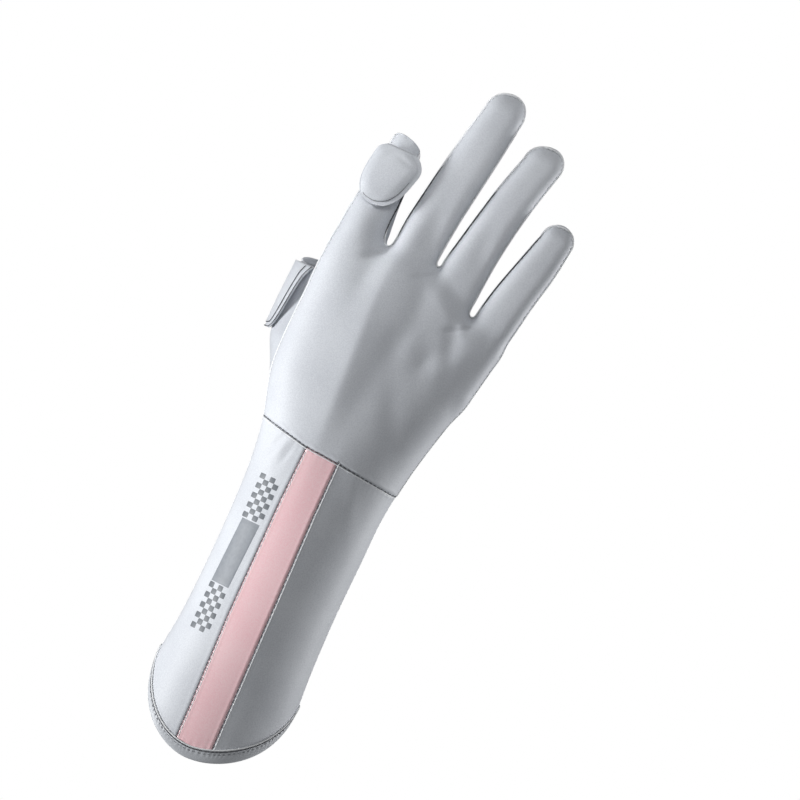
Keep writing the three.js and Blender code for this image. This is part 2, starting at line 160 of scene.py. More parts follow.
# The open ends of the two short tubes: a place on each, and how the rim leans across and back
THUMB_RIM = dict(x=-36.0, y=27.0, z=205.0, lean=0.0, back=0.22)
INDEX_RIM = dict(x=-25.7, y=4.4, z=263.3, lean=-0.28, back=-0.64)
INDEX_SIDE = -14.0  # the middle finger lies to the right of this
TUBE_HEM = 2.2  # depth of the thumb's folded rim

# The cuff's end on the back of the glove: how far it rises to the side seams, and its lowest place in
# degrees round the cuff, where 270 is the middle of the back, 180 the thumb's side and 360 the
# little finger's side
TONGUE = dict(rise=35.0, low=265.4, power=1.75)
# The binding round it: its breadth on the thumb's side and on the little finger's, the degrees
# between which that changes, and how it narrows to the side seams
BAND = {"thumb": 3.9, "little": 5.8, "from": 235, "to": 305, "taper": 0.7, "power": 6}
# The hem on the palm's side: its height at the side seams and its rise between them, its middle and
# its half breadth, and the depth of its fold
PALM_HEM = dict(side=35.3, rise=4.7, x=-1.8, half=31.0, fold=4.2)

# The seam between the hand and the cuff, and the stripe's two seams, as (x, z)
WRIST_SEAM = [(-90, 146.3), (-34, 139.3), (-12, 135), (3, 133.9), (34, 130.5), (90, 125)]
STRIPE_LEFT = [(-11.2, -10), (-11.5, 20), (-12.6, 60), (-12.5, 110), (-11.4, 145)]
STRIPE_RIGHT = [(4.4, -10), (3.8, 20), (3.1, 60), (2.3, 110), (2.5, 145)]

WALL = 0.7  # the cloth is thinner than the CAD model's wall
# The grid that the skin is worked out on, and how softly the fingers, the hand and the thumb join
GRID = dict(step=0.8, low=(-53.0, -26.4, 28.0), high=(59.0, 43.0, 308.0))
BLEND = dict(fingers=1.6, hand=4.0, thumb=3.2)
ROUNDS = 8  # how often a height on the curved cuff is worked out again until it settles


# Reading the tables

def along(rows, key, z):
    """One column of a table at the heights z, on a smooth curve through its rows."""
    heights = np.array([row["z"] for row in rows], float)
    values = np.array([row[key] for row in rows], float)
    slopes = np.diff(values) / np.diff(heights)
    middle = (values[2:] - values[:-2]) / (heights[2:] - heights[:-2])
    slopes = np.concatenate([slopes[:1], middle, slopes[-1:]])
    z = np.asarray(z, float)
    i = np.clip(np.searchsorted(heights, z) - 1, 0, len(rows) - 2)
    span = heights[i + 1] - heights[i]
    t = np.clip((z - heights[i]) / span, 0, 1)
    rise = values[i + 1] - values[i]
    bend = (slopes[i] * span - rise) * (1 - t) - (slopes[i + 1] * span - rise) * t
    inside = values[i] + rise * t + t * (1 - t) * bend
    before = np.minimum(z - heights[0], 0) * slopes[0]
    return inside + before + np.maximum(z - heights[-1], 0) * slopes[-1]


def row_at(rows, z):
    """Every column of a table at the heights z."""
    return {key: along(rows, key, z) for key in rows[0] if key != "z"}


def seam_depth(z):
    return along(SEAM_DEPTH, "y", np.maximum(z, 0))


def body_row(z):
    return row_at(BODY, z) | {"middle": seam_depth(z)}


def on_line(line, x):
    """Height of a line of points at the places x across the glove."""
    return np.interp(x, [p[0] for p in line], [p[1] for p in line])


def across_line(line, z):
    """Place across the glove of a line of points at the heights z."""
    return np.interp(z, [p[1] for p in line], [p[0] for p in line])


def smooth_step(value, low, high):
    t = np.clip((value - low) / (high - low), 0, 1)
    return t * t * (3 - 2 * t)


def bell(value, width):
    return np.exp(-((value / width) ** 2))


def from_middle(value, low, high):
    """-1 at low, 0 half way and 1 at high."""
    return (value - (low + high) / 2) / ((high - low) / 2)


def middle_and_half(row):
    """The middle of a section across the glove and half its breadth."""
    return (row["left"] + row["right"]) / 2, (row["right"] - row["left"]) / 2


def bowed(value, power):
    """A power of a value's size, with the value's sign."""
    return np.sign(value) * np.abs(value) ** power


def oval(across, deep, square):
    """0 in the middle of a section and 1 on its outline."""
    return (np.abs(across) ** square + np.abs(deep) ** square) ** (1 / square)


def unit(vectors):
    return vectors / np.maximum(np.linalg.norm(vectors, axis=-1, keepdims=True), 1e-9)


def cuff_point(degrees, z):
    """Places on the outside of the cuff and palm, by the turn round them and the height."""
    row = body_row(z)
    turn = np.radians(degrees)
    power = 2 / row["square"]
    across, deep = bowed(np.cos(turn), power), bowed(np.sin(turn), power)
    depth = np.where(deep > 0, row["front"] - row["middle"], row["middle"] - row["back"])
    centre, half = middle_and_half(row)
    places = np.broadcast_arrays(centre + half * across, row["middle"] + depth * deep, z)
    return np.stack(places, axis=-1)


def cuff_normal(degrees, z, reach=0.5):
    """The way out of the cuff at those places."""
    round_it = cuff_point(degrees + reach, z) - cuff_point(degrees - reach, z)
    up_it = cuff_point(degrees, z + reach) - cuff_point(degrees, z - reach)
    return unit(np.cross(round_it, up_it))


def back_turn(x, z):
    """The turn round the cuff, in degrees, of a place on the back of the glove."""
    row = body_row(z)
    share = np.clip(from_middle(x, row["left"], row["right"]), -1, 1)
    return 360 - np.degrees(np.arccos(bowed(share, row["square"] / 2)))


def turn_from_low(degrees):
    """0 at the tongue's lowest place and 1 at the side seams."""
    off = degrees - TONGUE["low"]
    return np.abs(off) / np.where(off < 0, TONGUE["low"] - 180, 360 - TONGUE["low"])


def tongue_end(degrees):
    """Height of the cuff's end on the back of the glove."""
    return TONGUE["rise"] * turn_from_low(degrees) ** TONGUE["power"]


def band_height(degrees, share):
    """Height of a place on the binding, from 0 at its lower edge to 1 at its seam."""
    to_little = smooth_step(degrees, BAND["from"], BAND["to"])
    wide = BAND["thumb"] + (BAND["little"] - BAND["thumb"]) * to_little
    wide = wide * (1 - BAND["taper"] * turn_from_low(degrees) ** BAND["power"])
    return tongue_end(degrees) + wide * share


# The glove's skin as a field of distances on a grid, which is then turned into a surface

def slope_of(measure, points, reach):
    """How fast a measure rises along X, Y and Z."""
    parts = [measure(points + step) - measure(points - step) for step in np.eye(3) * reach]
    return np.stack(parts, axis=-1) / (2 * reach)


class Field:
    """Numbers on the grid, read anywhere between its points."""

    def __init__(self, values):
        self.values = values

    def at(self, points):
        where = (points - np.array(GRID["low"])) / GRID["step"]
        where = np.clip(where, 0, np.array(self.values.shape) - 1.001)
        cell = where.astype(int)
        part = where - cell
        total = 0
        for corner in np.ndindex(2, 2, 2):
            share = np.prod(np.where(corner, part, 1 - part), axis=-1)
            total = total + share * self.values[tuple((cell + corner).T)]
        return total

    def slope(self, points):
        return slope_of(self.at, points, GRID["step"] / 2)


def grid_axes():
    axes = [np.arange(low, high, GRID["step"]) for low, high in zip(GRID["low"], GRID["high"])]
    return np.meshgrid(*axes, indexing="ij", sparse=True)


def distances(level):
    """A field that is 0 on a surface, as distances from that surface."""
    slopes = np.gradient(level, GRID["step"])
    steep = np.sqrt(sum(slope * slope for slope in slopes))
    return level / np.maximum(steep, 1e-3)


def merged(a, b, reach):
    """Two fields joined, with a soft fillet of this reach between them."""
    share = np.clip(0.5 + 0.5 * (b - a) / reach, 0, 1)
    return b + (a - b) * share - reach * share * (1 - share)


def hand_field(x, y, z):
    row = body_row(np.minimum(z, WEB_TOP))
    middle = row["middle"]
    depth = np.where(y > middle, row["front"] - middle, middle - row["back"])
    level = oval(from_middle(x, row["left"], row["right"]), (y - middle) / depth, row["square"]) - 1
    return -merged(-distances(level), on_line(WEBS, x) - z, WEB_ROUND)


def finger_field(x, y, z, tip, back_square, rows):
    start, end = rows[0]["z"], rows[-1]["z"]
    row = row_at(rows, np.clip(z, start, end))
    up = np.clip((z - end) / (tip[1] - end), 0, None)
    down = np.clip((start - z) / FOOT["finger"], 0, None)
    centre, half = middle_and_half(row)
    across = (x - centre - (tip[0] - centre) * np.minimum(up, 1) ** 2) / half
    deep = (y - seam_depth(z)) / row["half"]
    square = np.where(deep < 0, back_square, PALM_SQUARE)
    return distances(np.sqrt(oval(across, deep, square) ** 2 + up ** 2 + down ** 2) - 1)


def thumb_field(x, y, z):
    start = THUMB[0]["z"]
    row = row_at(THUMB, np.clip(z, start, THUMB[-1]["z"]))
    across, deep = from_middle(x, row["left"], row["right"]), from_middle(y, row["back"], row["front"])
    return -merged(-distances(oval(across, deep, THUMB_SQUARE) - 1), z - start, FOOT["thumb"])


def skin_surface(values):
    """The surface where the field is 0: one point in each cell that it passes through."""
    inside = values < 0
    near, far, inner = slice(0, -1), slice(1, None), slice(1, -1)
    corners = list(np.ndindex(2, 2, 2))
    counts = sum(inside[tuple(far if side else near for side in corner)].astype(int) for corner in corners)
    cells = np.argwhere((counts > 0) & (counts < 8))
    place = np.zeros((len(cells), 3))
    hits = np.zeros(len(cells))
    steps = np.eye(3, dtype=int)
    for corner in corners:
        for axis in range(3):
            if corner[axis]:
                continue
            a = values[tuple((cells + corner).T)]
            b = values[tuple((cells + corner + steps[axis]).T)]
            crossed = (a < 0) != (b < 0)
            t = np.where(crossed, a / np.where(crossed, a - b, 1), 0)
            place += crossed[:, None] * (corner + t[:, None] * steps[axis])
            hits += crossed
    points = np.array(GRID["low"]) + GRID["step"] * (cells + place / hits[:, None])
    number = np.full(np.array(values.shape) - 1, -1)
    number[tuple(cells.T)] = np.arange(len(cells))
    faces = []
    for axis in range(3):
        lower = inside[tuple(near if a == axis else inner for a in range(3))]
        upper = inside[tuple(far if a == axis else inner for a in range(3))]
        edges = np.argwhere(lower != upper) + 1 - steps[axis]
        leaving = inside[tuple(edges.T)]
        e1, e2 = steps[(axis + 1) % 3], steps[(axis + 2) % 3]
        quad = np.stack([number[tuple((edges - shift).T)] for shift in (0 * e1, e1, e1 + e2, e2)], axis=1)
        faces.append(np.where(leaving[:, None], quad, quad[:, ::-1]))
    return points, np.concatenate(faces)


def triangles(quads):
    return np.concatenate([quads[:, [0, 1, 2]], quads[:, [0, 2, 3]]])


def vertex_normals(points, faces):
    """Smooth normals of a triangle mesh."""
    a, b, c = (points[faces[:, k]] for k in range(3))
    face = np.cross(b - a, c - a)
    total = [sum(np.bincount(faces[:, k], face[:, d], len(points)) for k in range(3)) for d in range(3)]
    return unit(np.stack(total, axis=-1))


def relaxed(points, quads, rounds):
    """Points drawn towards the middle of their neighbours."""
    for _ in range(rounds):
        total = np.zeros_like(points)
        count = np.zeros(len(points))
        for k in range(4):
            here, there = quads[:, k], quads[:, (k + 1) % 4]
            for a, b in ((here, there), (there, here)):
                count += np.bincount(a, minlength=len(points))
                for d in range(3):
                    total[:, d] += np.bincount(a, points[b, d], len(points))
        points = 0.5 * points + 0.5 * total / count[:, None]
    return points


def drawn_to(points, field, rounds=3, least=0.2):
    """Points moved on to the surface where a field is 0. The least bounds the squared slope from below."""
    for _ in range(rounds):
        slope = field.slope(points)
        size = np.maximum((slope ** 2).sum(-1, keepdims=True), least)
        points = points - field.at(points)[:, None] * slope / size
    return points


def snapped(points, normals, measure, near=0.4, probe=0.1, least=0.05):
    """Points near a seam, by a share of the grid's step, moved along the skin on to it."""
    slope = slope_of(measure, points, probe)
    slope = slope - (slope * normals).sum(-1, keepdims=True) * normals
    size = np.maximum((slope ** 2).sum(-1), least)
    move = -(measure(points) / size)[:, None] * slope
    moved = np.linalg.norm(move, axis=-1) < near * GRID["step"]
    return np.where(moved[:, None], points + move, points)


def cut_off(points, faces, measure, close=0.02):
    """The part of a triangle mesh where a measure is below 0. Points this close to 0 are on the cut."""
    values = measure(points)
    values = np.where(np.abs(values) < close, 0.0, values)
    corner = values[faces]
    kept = faces[(corner.max(1) <= 0) & (corner.min(1) < 0)]
    new_points, new_faces, made = [], [], {}

    def crossing(a, b):
        key = (min(a, b), max(a, b))
        if key not in made:
            t = values[a] / (values[a] - values[b])
            made[key] = len(points) + len(new_points)
            new_points.append(points[a] + t * (points[b] - points[a]))
        return made[key]

    for face in faces[(corner.max(1) > 0) & (corner.min(1) < 0)].tolist():
        loop = []
        for k in range(3):
            a, b = face[k], face[(k + 1) % 3]
            if values[a] <= 0:
                loop.append(a)
            if values[a] * values[b] < 0:
                loop.append(crossing(a, b))
        new_faces += [[loop[0], loop[k], loop[k + 1]] for k in range(1, len(loop) - 1)]
    points = np.concatenate([points, np.array(new_points).reshape(-1, 3)])
    faces = np.concatenate([kept, np.array(new_faces, int).reshape(-1, 3)])
    used, faces = np.unique(faces, return_inverse=True)
    return points[used], faces.reshape(-1, 3)


def open_edges(faces):
    """The edges that only one face has, each in the order of that face."""
    ends = [np.stack([faces[:, k - 1], faces[:, k]], axis=1) for k in range(faces.shape[1])]
    edges = {tuple(edge) for edge in np.concatenate(ends).tolist()}
    return [(a, b) for a, b in edges if (b, a) not in edges]


def rims(faces):
    """The open edges of a mesh as chains of point numbers."""
    following = dict(sorted(open_edges(faces)))
    chains = []
    while following:
        start = next(iter(following))
        chain = [start]
        while chain[-1] in following:
            chain.append(following.pop(chain[-1]))
            if chain[-1] == start:
                break
        chains.append(chain)
    return chains


# Making meshes

def grid_faces(rows, columns, looped=False):
    """Four-sided faces over rows of points, each row closed into a loop where asked."""
    number = np.arange(rows * columns).reshape(rows, columns)
    if looped:
        number = np.hstack([number, number[:, :1]])
    corners = [number[:-1, :-1], number[1:, :-1], number[1:, 1:], number[:-1, 1:]]
    return np.stack(corners, axis=-1).reshape(-1, 4)


def into_scene(name, data):
    """An object of the scene that shows a mesh, a light or a camera."""
    made = bpy.data.objects.new(name, data)
    bpy.context.scene.collection.objects.link(made)
    return made


class Stock:
    """Points and faces that become one piece."""

    def __init__(self):
        self.points = []
        self.faces = []
        self.count = 0

    def add(self, points, faces):
        points = np.asarray(points, float).reshape(-1, 3)
        self.faces += (np.asarray(faces) + self.count).tolist()
        self.points.append(points)
        self.count += len(points)

    def add_shell(self, points, faces, normals, wall):
        """A sheet with its thickness added inwards and its open edges closed."""
        start = self.count
        far = start + len(points)
        self.add(points, faces)
        self.add(points - wall * normals, faces[:, ::-1])
        self.faces += [[start + b, start + a, far + a, far + b] for a, b in open_edges(faces)]

    def add_tube(self, rings):
        """Rings of points along a strand, with its two ends closed."""
        rows, sides = rings.shape[:2]
        start = self.count
        last = start + (rows - 1) * sides
        self.add(rings, grid_faces(rows, sides, looped=True))
        self.faces.append([start + k for k in range(sides)])
        self.faces.append([last + sides - 1 - k for k in range(sides)])

    def piece(self, name, material, *nodes, slot="grey_cloth"):
        """A piece of the glove's one body, with the CAD nodes that it stands for and its finish."""
        mesh = bpy.data.meshes.new(name)
        mesh.from_pydata((np.concatenate(self.points) * MM).tolist(), [], self.faces)
        mesh.update()
        mesh.shade_smooth()
        mesh.materials.append(material)
        made = into_scene(name, mesh)
        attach(made, "root")
        if nodes:
            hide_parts(*nodes)
        return made


def resampled(points, normals, step):
    """A line of points and the normals under it, with points a step apart."""
    gaps = np.linalg.norm(np.diff(points, axis=0), axis=1)
    reach = np.concatenate([[0], np.cumsum(gaps)])
    places = np.linspace(0, reach[-1], max(3, int(round(reach[-1] / step)) + 1))
    line, out = (
        np.stack([np.interp(places, reach, values[:, d]) for d in range(3)], -1)
        for values in (points, normals)
    )
    return line, unit(out)


def frames(points, normals):
    """The way along a line and the way to its right, seen from outside, at each point."""
    ahead = unit(np.gradient(points, axis=0))
    return ahead, unit(np.cross(ahead, normals))


def softened(line, rounds):
    """A line with its small corners taken off, its ends kept."""
    line = line.copy()
    for _ in range(rounds):
        line[1:-1] = 0.25 * line[:-2] + 0.5 * line[1:-1] + 0.25 * line[2:]
    return line


def strand(stock, points, normals, wide, high, sides=8, end=0.4):
    """A flattened strand along a line, of this half breadth and half height."""
    _, across = frames(points, normals)
    turn = 2 * np.pi * np.arange(sides) / sides
    taper = np.ones((len(points), 1))
    taper[[0, -1]] = end
    rings = (points[:, None] + (taper * wide * np.cos(turn))[..., None] * across[:, None]
             + (taper * high * np.sin(turn))[..., None] * normals[:, None])
    stock.add_tube(rings[:, ::-1])


# A stitch from end to end: shares of its length, its height and its thickness
STITCH = [(-0.5, -0.6, 0.35), (-0.36, 0.35, 0.85), (0.0, 0.75, 1.0), (0.36, 0.35, 0.85), (0.5, -0.6, 0.35)]


def stitches(stock, points, normals, pitch, long, thick, lift=0.0, sides=6):
    """Short stitches along a line, each one dipping into the cloth at its ends."""
    line, out = resampled(points, normals, pitch)
    turn = 2 * np.pi * np.arange(sides) / sides
    for place, normal, way in zip(line, out, frames(line, out)[0]):
        across = np.cross(way, normal)
        rings = np.array([
            place + way * share * long + normal * (lift + height * thick)
            + size * thick * (np.outer(np.cos(turn), across) + np.outer(np.sin(turn), normal))
            for share, height, size in STITCH
        ])
        stock.add_tube(rings[:, ::-1])


# Shader maths as Python expressions

class Value:
    """The output of a shader node. An expression on values adds its Math nodes."""

    def __init__(self, nodes, socket):
        self.nodes = nodes
        self.socket = socket

    def math(self, operation, *others):
        return self.nodes.node("ShaderNodeMath", {"operation": operation}, dict(enumerate((self, *others))))

    def __add__(self, other):
        return self.math("ADD", other)

    def __sub__(self, other):
        return self.math("SUBTRACT", other)

    def __rsub__(self, other):
        return self.math("MULTIPLY_ADD", -1.0, other)

    def __mul__(self, other):
        return self.math("MULTIPLY", other)

    __radd__ = __add__
    __rmul__ = __mul__

    def wave(self):
        """Sine of the value."""
        return self.math("SINE")

    def size(self):
        return self.math("ABSOLUTE")

    def stepped(self, low, high):
        """0 below low, 1 above high and smooth between."""
        settings = {"interpolation_type": "SMOOTHSTEP"}
        inputs = {"Value": self, "From Min": low, "From Max": high}
        return self.nodes.node("ShaderNodeMapRange", settings, inputs)

    def parts(self):
        """The three parts of a vector, each a value."""
        apart = self.nodes.node("ShaderNodeSeparateXYZ", {}, {0: self}).socket.node
        return [Value(self.nodes, apart.outputs[axis]) for axis in "XYZ"]


class Nodes:
    """A tree of shader nodes."""

    def __init__(self, tree):
        self.tree = tree

    def node(self, kind, settings=None, inputs=None, output=0):
        """A node with its settings, then the values or links of its sockets."""
        made = self.tree.nodes.new(kind)
        for key, value in (settings or {}).items():
            setattr(made, key, value)
        self.fill(made, inputs or {})
        return Value(self, made.outputs[output])

    def fill(self, made, inputs):
        """Sets or links the sockets of a node."""
        for key, value in inputs.items():
            if isinstance(value, Value):
                self.tree.links.new(value.socket, made.inputs[key])
            else:
                made.inputs[key].default_value = value


class Look(Nodes):
    """A material that is put together from nodes."""

    def __init__(self, name):
        self.material = bpy.data.materials.new(name)
        self.material.use_nodes = True
        super().__init__(self.material.node_tree)
        place = self.node("ShaderNodeTexCoord", output="Object")
        self.place = self.node("ShaderNodeVectorMath", {"operation": "SCALE"}, {0: place, "Scale": 1 / MM})

    def noise(self, scale, detail=2.0):
        """Soft cloudy values about 0.5, this many clouds to a millimetre."""
        return self.node("ShaderNodeTexNoise", {}, {"Vector": self.place, "Scale": scale, "Detail": detail})

    def mixed(self, share, one, two):
        """Two colours mixed by a share."""
        return self.node("ShaderNodeMix", {"data_type": "RGBA"}, {0: share, 6: one, 7: two}, output=2)

    def clouded(self, colour, share, scale, low, high):
        """A colour that soft clouds, this many to a millimetre, dim to a share of itself."""
        dim = tuple(share * part for part in colour[:3]) + (1.0,)
        return self.mixed(self.noise(scale).stepped(low, high), dim, colour)

    def bump(self, height, distance, strength=1.0):
        """A normal from a height, with the height of 1 in millimetres."""
        inputs = {"Height": height, "Distance": distance * MM, "Strength": strength}
        return self.node("ShaderNodeBump", {}, inputs)

    def finish(self, inputs):
        """Sets the shader's own sockets and links what changes over the surface."""
        self.fill(self.tree.nodes["Principled BSDF"], inputs)
        return self.material


def shade(red, green, blue):
    """A colour from the three numbers, 0 to 255, that a screen shows for it."""
    def linear(value):
        value = value / 255
        return value / 12.92 if value <= 0.04045 else ((value + 0.055) / 1.055) ** 2.4
    return (linear(red), linear(green), linear(blue), 1.0)


def spread(value, about, by=0.12):
    """A value about 0.5 turned into one about another number."""
    return value * by + (about - by / 2)


# Turns of the waves to a millimetre, in radians: the knit's ribs and loops, from their pitches, and
# the thread's twist
KNIT_RIB = 2 * math.pi / 0.62
KNIT_LOOP = 2 * math.pi / 0.48
TWIST = 9.0


def knit_height(look):
    """Height of the fine knit: ribs up the glove and the small loops along them."""
    x, y, z = look.place.parts()
    facing_side = look.node("ShaderNodeTexCoord", output="Normal").parts()[0]
    side = facing_side.size().stepped(0.6, 0.8)
    over_back = (x * KNIT_RIB).wave()
    over_side = (y * KNIT_RIB).wave()
    ribs = over_back * (1 - side) + over_side * side
    loops = (z * KNIT_LOOP).wave()
    return ribs * 0.6 + ribs * loops * 0.4


def cloth(name, colour, deep, roughness=0.52, sheen=0.25):
    """Smooth cool knit: a satin surface with a fine knit and faint changes of tone."""
    look = Look(name)
    cloudy = look.noise(0.045, detail=3.0)
    fine = look.noise(1.6)
    grain = look.noise(2.2, detail=1.0)
    tone = (cloudy * 0.4 + grain * 0.6).stepped(0.36, 0.64)
    knit = knit_height(look) * 0.3 + fine * 2.6
    return look.finish({
        "Base Color": look.mixed(tone, deep, colour),
        "Roughness": spread(cloudy, roughness),
        "Normal": look.bump(knit, distance=0.012, strength=0.6),
        "Sheen Weight": sheen,
        "Sheen Roughness": 0.4,
        "Specular IOR Level": 0.35,
    })


def thread(name, colour, roughness=0.6):
    """Twisted sewing thread."""
    look = Look(name)
    x, y, z = look.place.parts()
    twist = ((x + y + z) * TWIST).wave()
    base = look.clouded(colour, 0.75, scale=0.8, low=0.3, high=0.7)
    return look.finish({
        "Base Color": base,
        "Roughness": roughness,
        "Normal": look.bump(twist, distance=0.03),
    })


def rubber(name, colour, roughness):
    """Soft raised print with a slight gloss."""
    look = Look(name)
    fine = look.noise(4.0)
    return look.finish({
        "Base Color": look.clouded(colour, 0.9, scale=0.5, low=0.35, high=0.65),
        "Roughness": spread(fine, roughness),
        "Normal": look.bump(fine, distance=0.015),
        "Coat Weight": 0.15,
        "Coat Roughness": 0.3,
    })


def matte(name, colour, roughness, glow):
    """A plain surface with the faintest clouds, which glows a little."""
    look = Look(name)
    base = look.clouded(colour, 0.98, scale=0.004, low=0.2, high=0.8)
    return look.finish(
        {"Base Color": base, "Emission Color": base, "Emission Strength": glow, "Roughness": roughness})


GREY = cloth("grey_cool_knit", shade(216, 220, 226), shade(203, 207, 214))
# The thumb and its turned-back cap take a darker copy of the grey knit: painted shade, drawn darker than the
# same cloth elsewhere.
THUMB_SHADED_GREY = cloth("thumb_knit_painted_shade", shade(204, 208, 214), shade(190, 194, 201))
PINK = cloth("pink_cool_knit", shade(255, 219, 223), shade(253, 207, 213))
BAND_CLOTH = cloth("binding_knit", shade(202, 206, 211), shade(190, 194, 200), roughness=0.42, sheen=0.4)
# A whiter copy of the grey knit for the ridges and folded edges along the seams: painted highlight where
# those edges catch the light.
SEAM_HIGHLIGHT_CLOTH = cloth("seam_edge_knit_painted_highlight", shade(246, 248, 250), shade(236, 238, 241), roughness=0.5)
# A dark thread for stitches and seam lines: real thread, drawn darker than it is as painted shade in the
# seams.
DARK_THREAD_AND_SEAM_SHADE = thread("dark_seam_thread_and_painted_shade", shade(84, 86, 92))
# A grey thread for the binding's stitches, also drawn as a thin grey line beside the finger seams as painted
# shade.
MIDDLE_THREAD_AND_SEAM_SHADE = thread("grey_seam_thread_and_painted_shade", shade(128, 131, 137))
PALE_THREAD = thread("pale_seam_thread", shade(196, 198, 203))
PRINT = rubber("dark_transfer_print", shade(104, 110, 117), 0.6)
BAR = rubber("grey_transfer_bar", shade(136, 142, 150), 0.6)
GRIP = rubber("clear_grip_dots", shade(226, 228, 232), 0.28)


# The skin of the hand, palm, fingers and thumb

X, Y, Z = grid_axes()
fingers = [finger_field(X, Y, Z, **finger) for finger in FINGERS.values()]
hand = fingers[0]
for one in fingers[1:]:
    hand = merged(hand, one, BLEND["fingers"])
hand = merged(hand, hand_field(X, Y, Z), BLEND["hand"])
thumb = thumb_field(X, Y, Z)
hand_distance = Field(hand)
thumb_distance = Field(thumb)
skin = Field(distances(merged(hand, thumb, BLEND["thumb"])))

skin_points, skin_quads = skin_surface(skin.values)
skin_points = drawn_to(skin_points, skin)
skin_points = drawn_to(relaxed(skin_points, skin_quads, rounds=2), skin, rounds=2)
skin_faces = triangles(skin_quads)
skin_normals = vertex_normals(skin_points, skin_faces)


# Measures of a place, each of which is 0 along a seam or an edge of the skin

def from_seam(points):
    """How far a place lies to the palm's side of the side seams, which turn to the back on the fingers."""
    z = points[:, 2]
    turned_back = SEAM_TURN["by"] * smooth_step(z, SEAM_TURN["from"], SEAM_TURN["to"])
    return points[:, 1] - seam_depth(z) + turned_back


def from_wrist(points):
    """How far a place lies below the seam between the hand and the cuff."""
    return on_line(WRIST_SEAM, points[:, 0]) - points[:, 2]


def from_thumb(points):
    """Below 0 on the thumb's tube and above 0 on the rest of the glove."""
    return thumb_distance.at(points) - hand_distance.at(points)


def past_rim(points, rim):
    """How far a place lies past the open end of a tube."""
    x, y, z = points.T
    return z - rim["z"] - rim["lean"] * (x - rim["x"]) - rim["back"] * (y - rim["y"])


def past_index_rim(points):
    return np.minimum(past_rim(points, INDEX_RIM), INDEX_SIDE - points[:, 0])


def past_thumb_rim(points):
    return past_rim(points, THUMB_RIM)


def below_palm_hem(points):
    share = np.clip((points[:, 0] - PALM_HEM["x"]) / PALM_HEM["half"], -1, 1)
    return PALM_HEM["side"] + PALM_HEM["rise"] * np.sqrt(1 - share ** 2) - points[:, 2]


def opposite(measure):
    return lambda points: -measure(points)


def raised(measure, by):
    """A measure that is 0 where the first one is that much below 0."""
    return lambda points: measure(points) + by


def panel(*measures):
    """The part of the skin where all these measures are below 0."""
    points, faces = skin_points, skin_faces
    for measure in measures:
        points, faces = cut_off(points, faces, measure)
    return points, faces


for measure in (from_seam, from_wrist, from_thumb, past_index_rim, past_thumb_rim, below_palm_hem):
    skin_points = snapped(skin_points, skin_normals, measure)
back_panel = panel(from_seam, from_wrist, past_index_rim, opposite(from_thumb))
palm_panel = panel(opposite(from_seam), below_palm_hem, past_index_rim, opposite(from_thumb))
thumb_panel = panel(from_thumb, past_thumb_rim)


# Folds and seams in the cloth

# Soft folds: the middle of each, its turn from straight up in degrees, its half length and half width,
# and its height, which is below 0 in a hollow. One with an edge has a crest that is rounded over that
# width.
FOLD = "x z turn long wide high edge"
BACK_FOLDS = table(
    FOLD,
    (-10.4, 178.0, -3, 40.0, 9.0, 1.9, 1.6),
    (-19.0, 213.0, 2, 12.0, 4.0, -0.45),
    (2.8, 78.0, -1, 52.0, 9.5, 1.7, 2.0),
    (6.0, 211.0, -4, 15.0, 4.4, -0.6),
    (25.0, 198.0, -12, 16.0, 4.0, -0.9),
    (-6.0, 208.0, 0, 9.0, 6.0, 0.35),
    (-11.0, 212.0, 4, 14.0, 6.0, 0.7, 1.6),
    (-29.5, 227.0, 2, 10.0, 5.5, 1.2),
    (-18.0, 229.0, 2, 9.0, 5.0, -2.2),
    (-9.0, 230.0, 2, 12.0, 6.0, 0.6, 1.2),
    (16.0, 194.0, 6, 30.0, 13.0, -1.6),
    (9.5, 190.0, 10, 6.0, 3.6, 0.3),
    (26.5, 187.5, 20, 6.0, 4.0, 0.5),
    (4.0, 190.0, 10, 9.0, 5.0, -0.45),
    (18.0, 187.0, 16, 6.0, 3.2, -0.45),
    (-27.0, 203.0, 4, 12.0, 7.0, 0.7),
    (1.0, 168.0, 6, 22.0, 6.0, -0.5),
    (16.0, 158.0, -24, 22.0, 5.0, -0.4),
    (0.0, 234.0, -3, 14.0, 5.0, -1.3),
    (21.5, 235.0, -6, 13.0, 4.6, -0.7),
    (-17.2, 221.6, 56, 3.0, 1.0, 1.2),
    (-19.4, 218.4, 52, 5.0, 1.7, -1.2),
    (4.0, 220.4, 52, 3.0, 0.9, 0.8),
    (2.6, 218.6, 54, 4.4, 1.3, -0.9),
    (25.8, 206.2, 52, 3.0, 0.9, 0.8),
    (24.2, 204.4, 54, 4.4, 1.3, -0.9),
    (-24.0, 131.0, 24, 6.0, 1.4, -0.3),
    (-18.0, 128.5, 14, 5.0, 1.2, -0.28),
    (-20.8, 130.5, 18, 5.0, 1.2, 0.25),
    (14.0, 122.0, -20, 12.0, 3.0, 0.25),
)
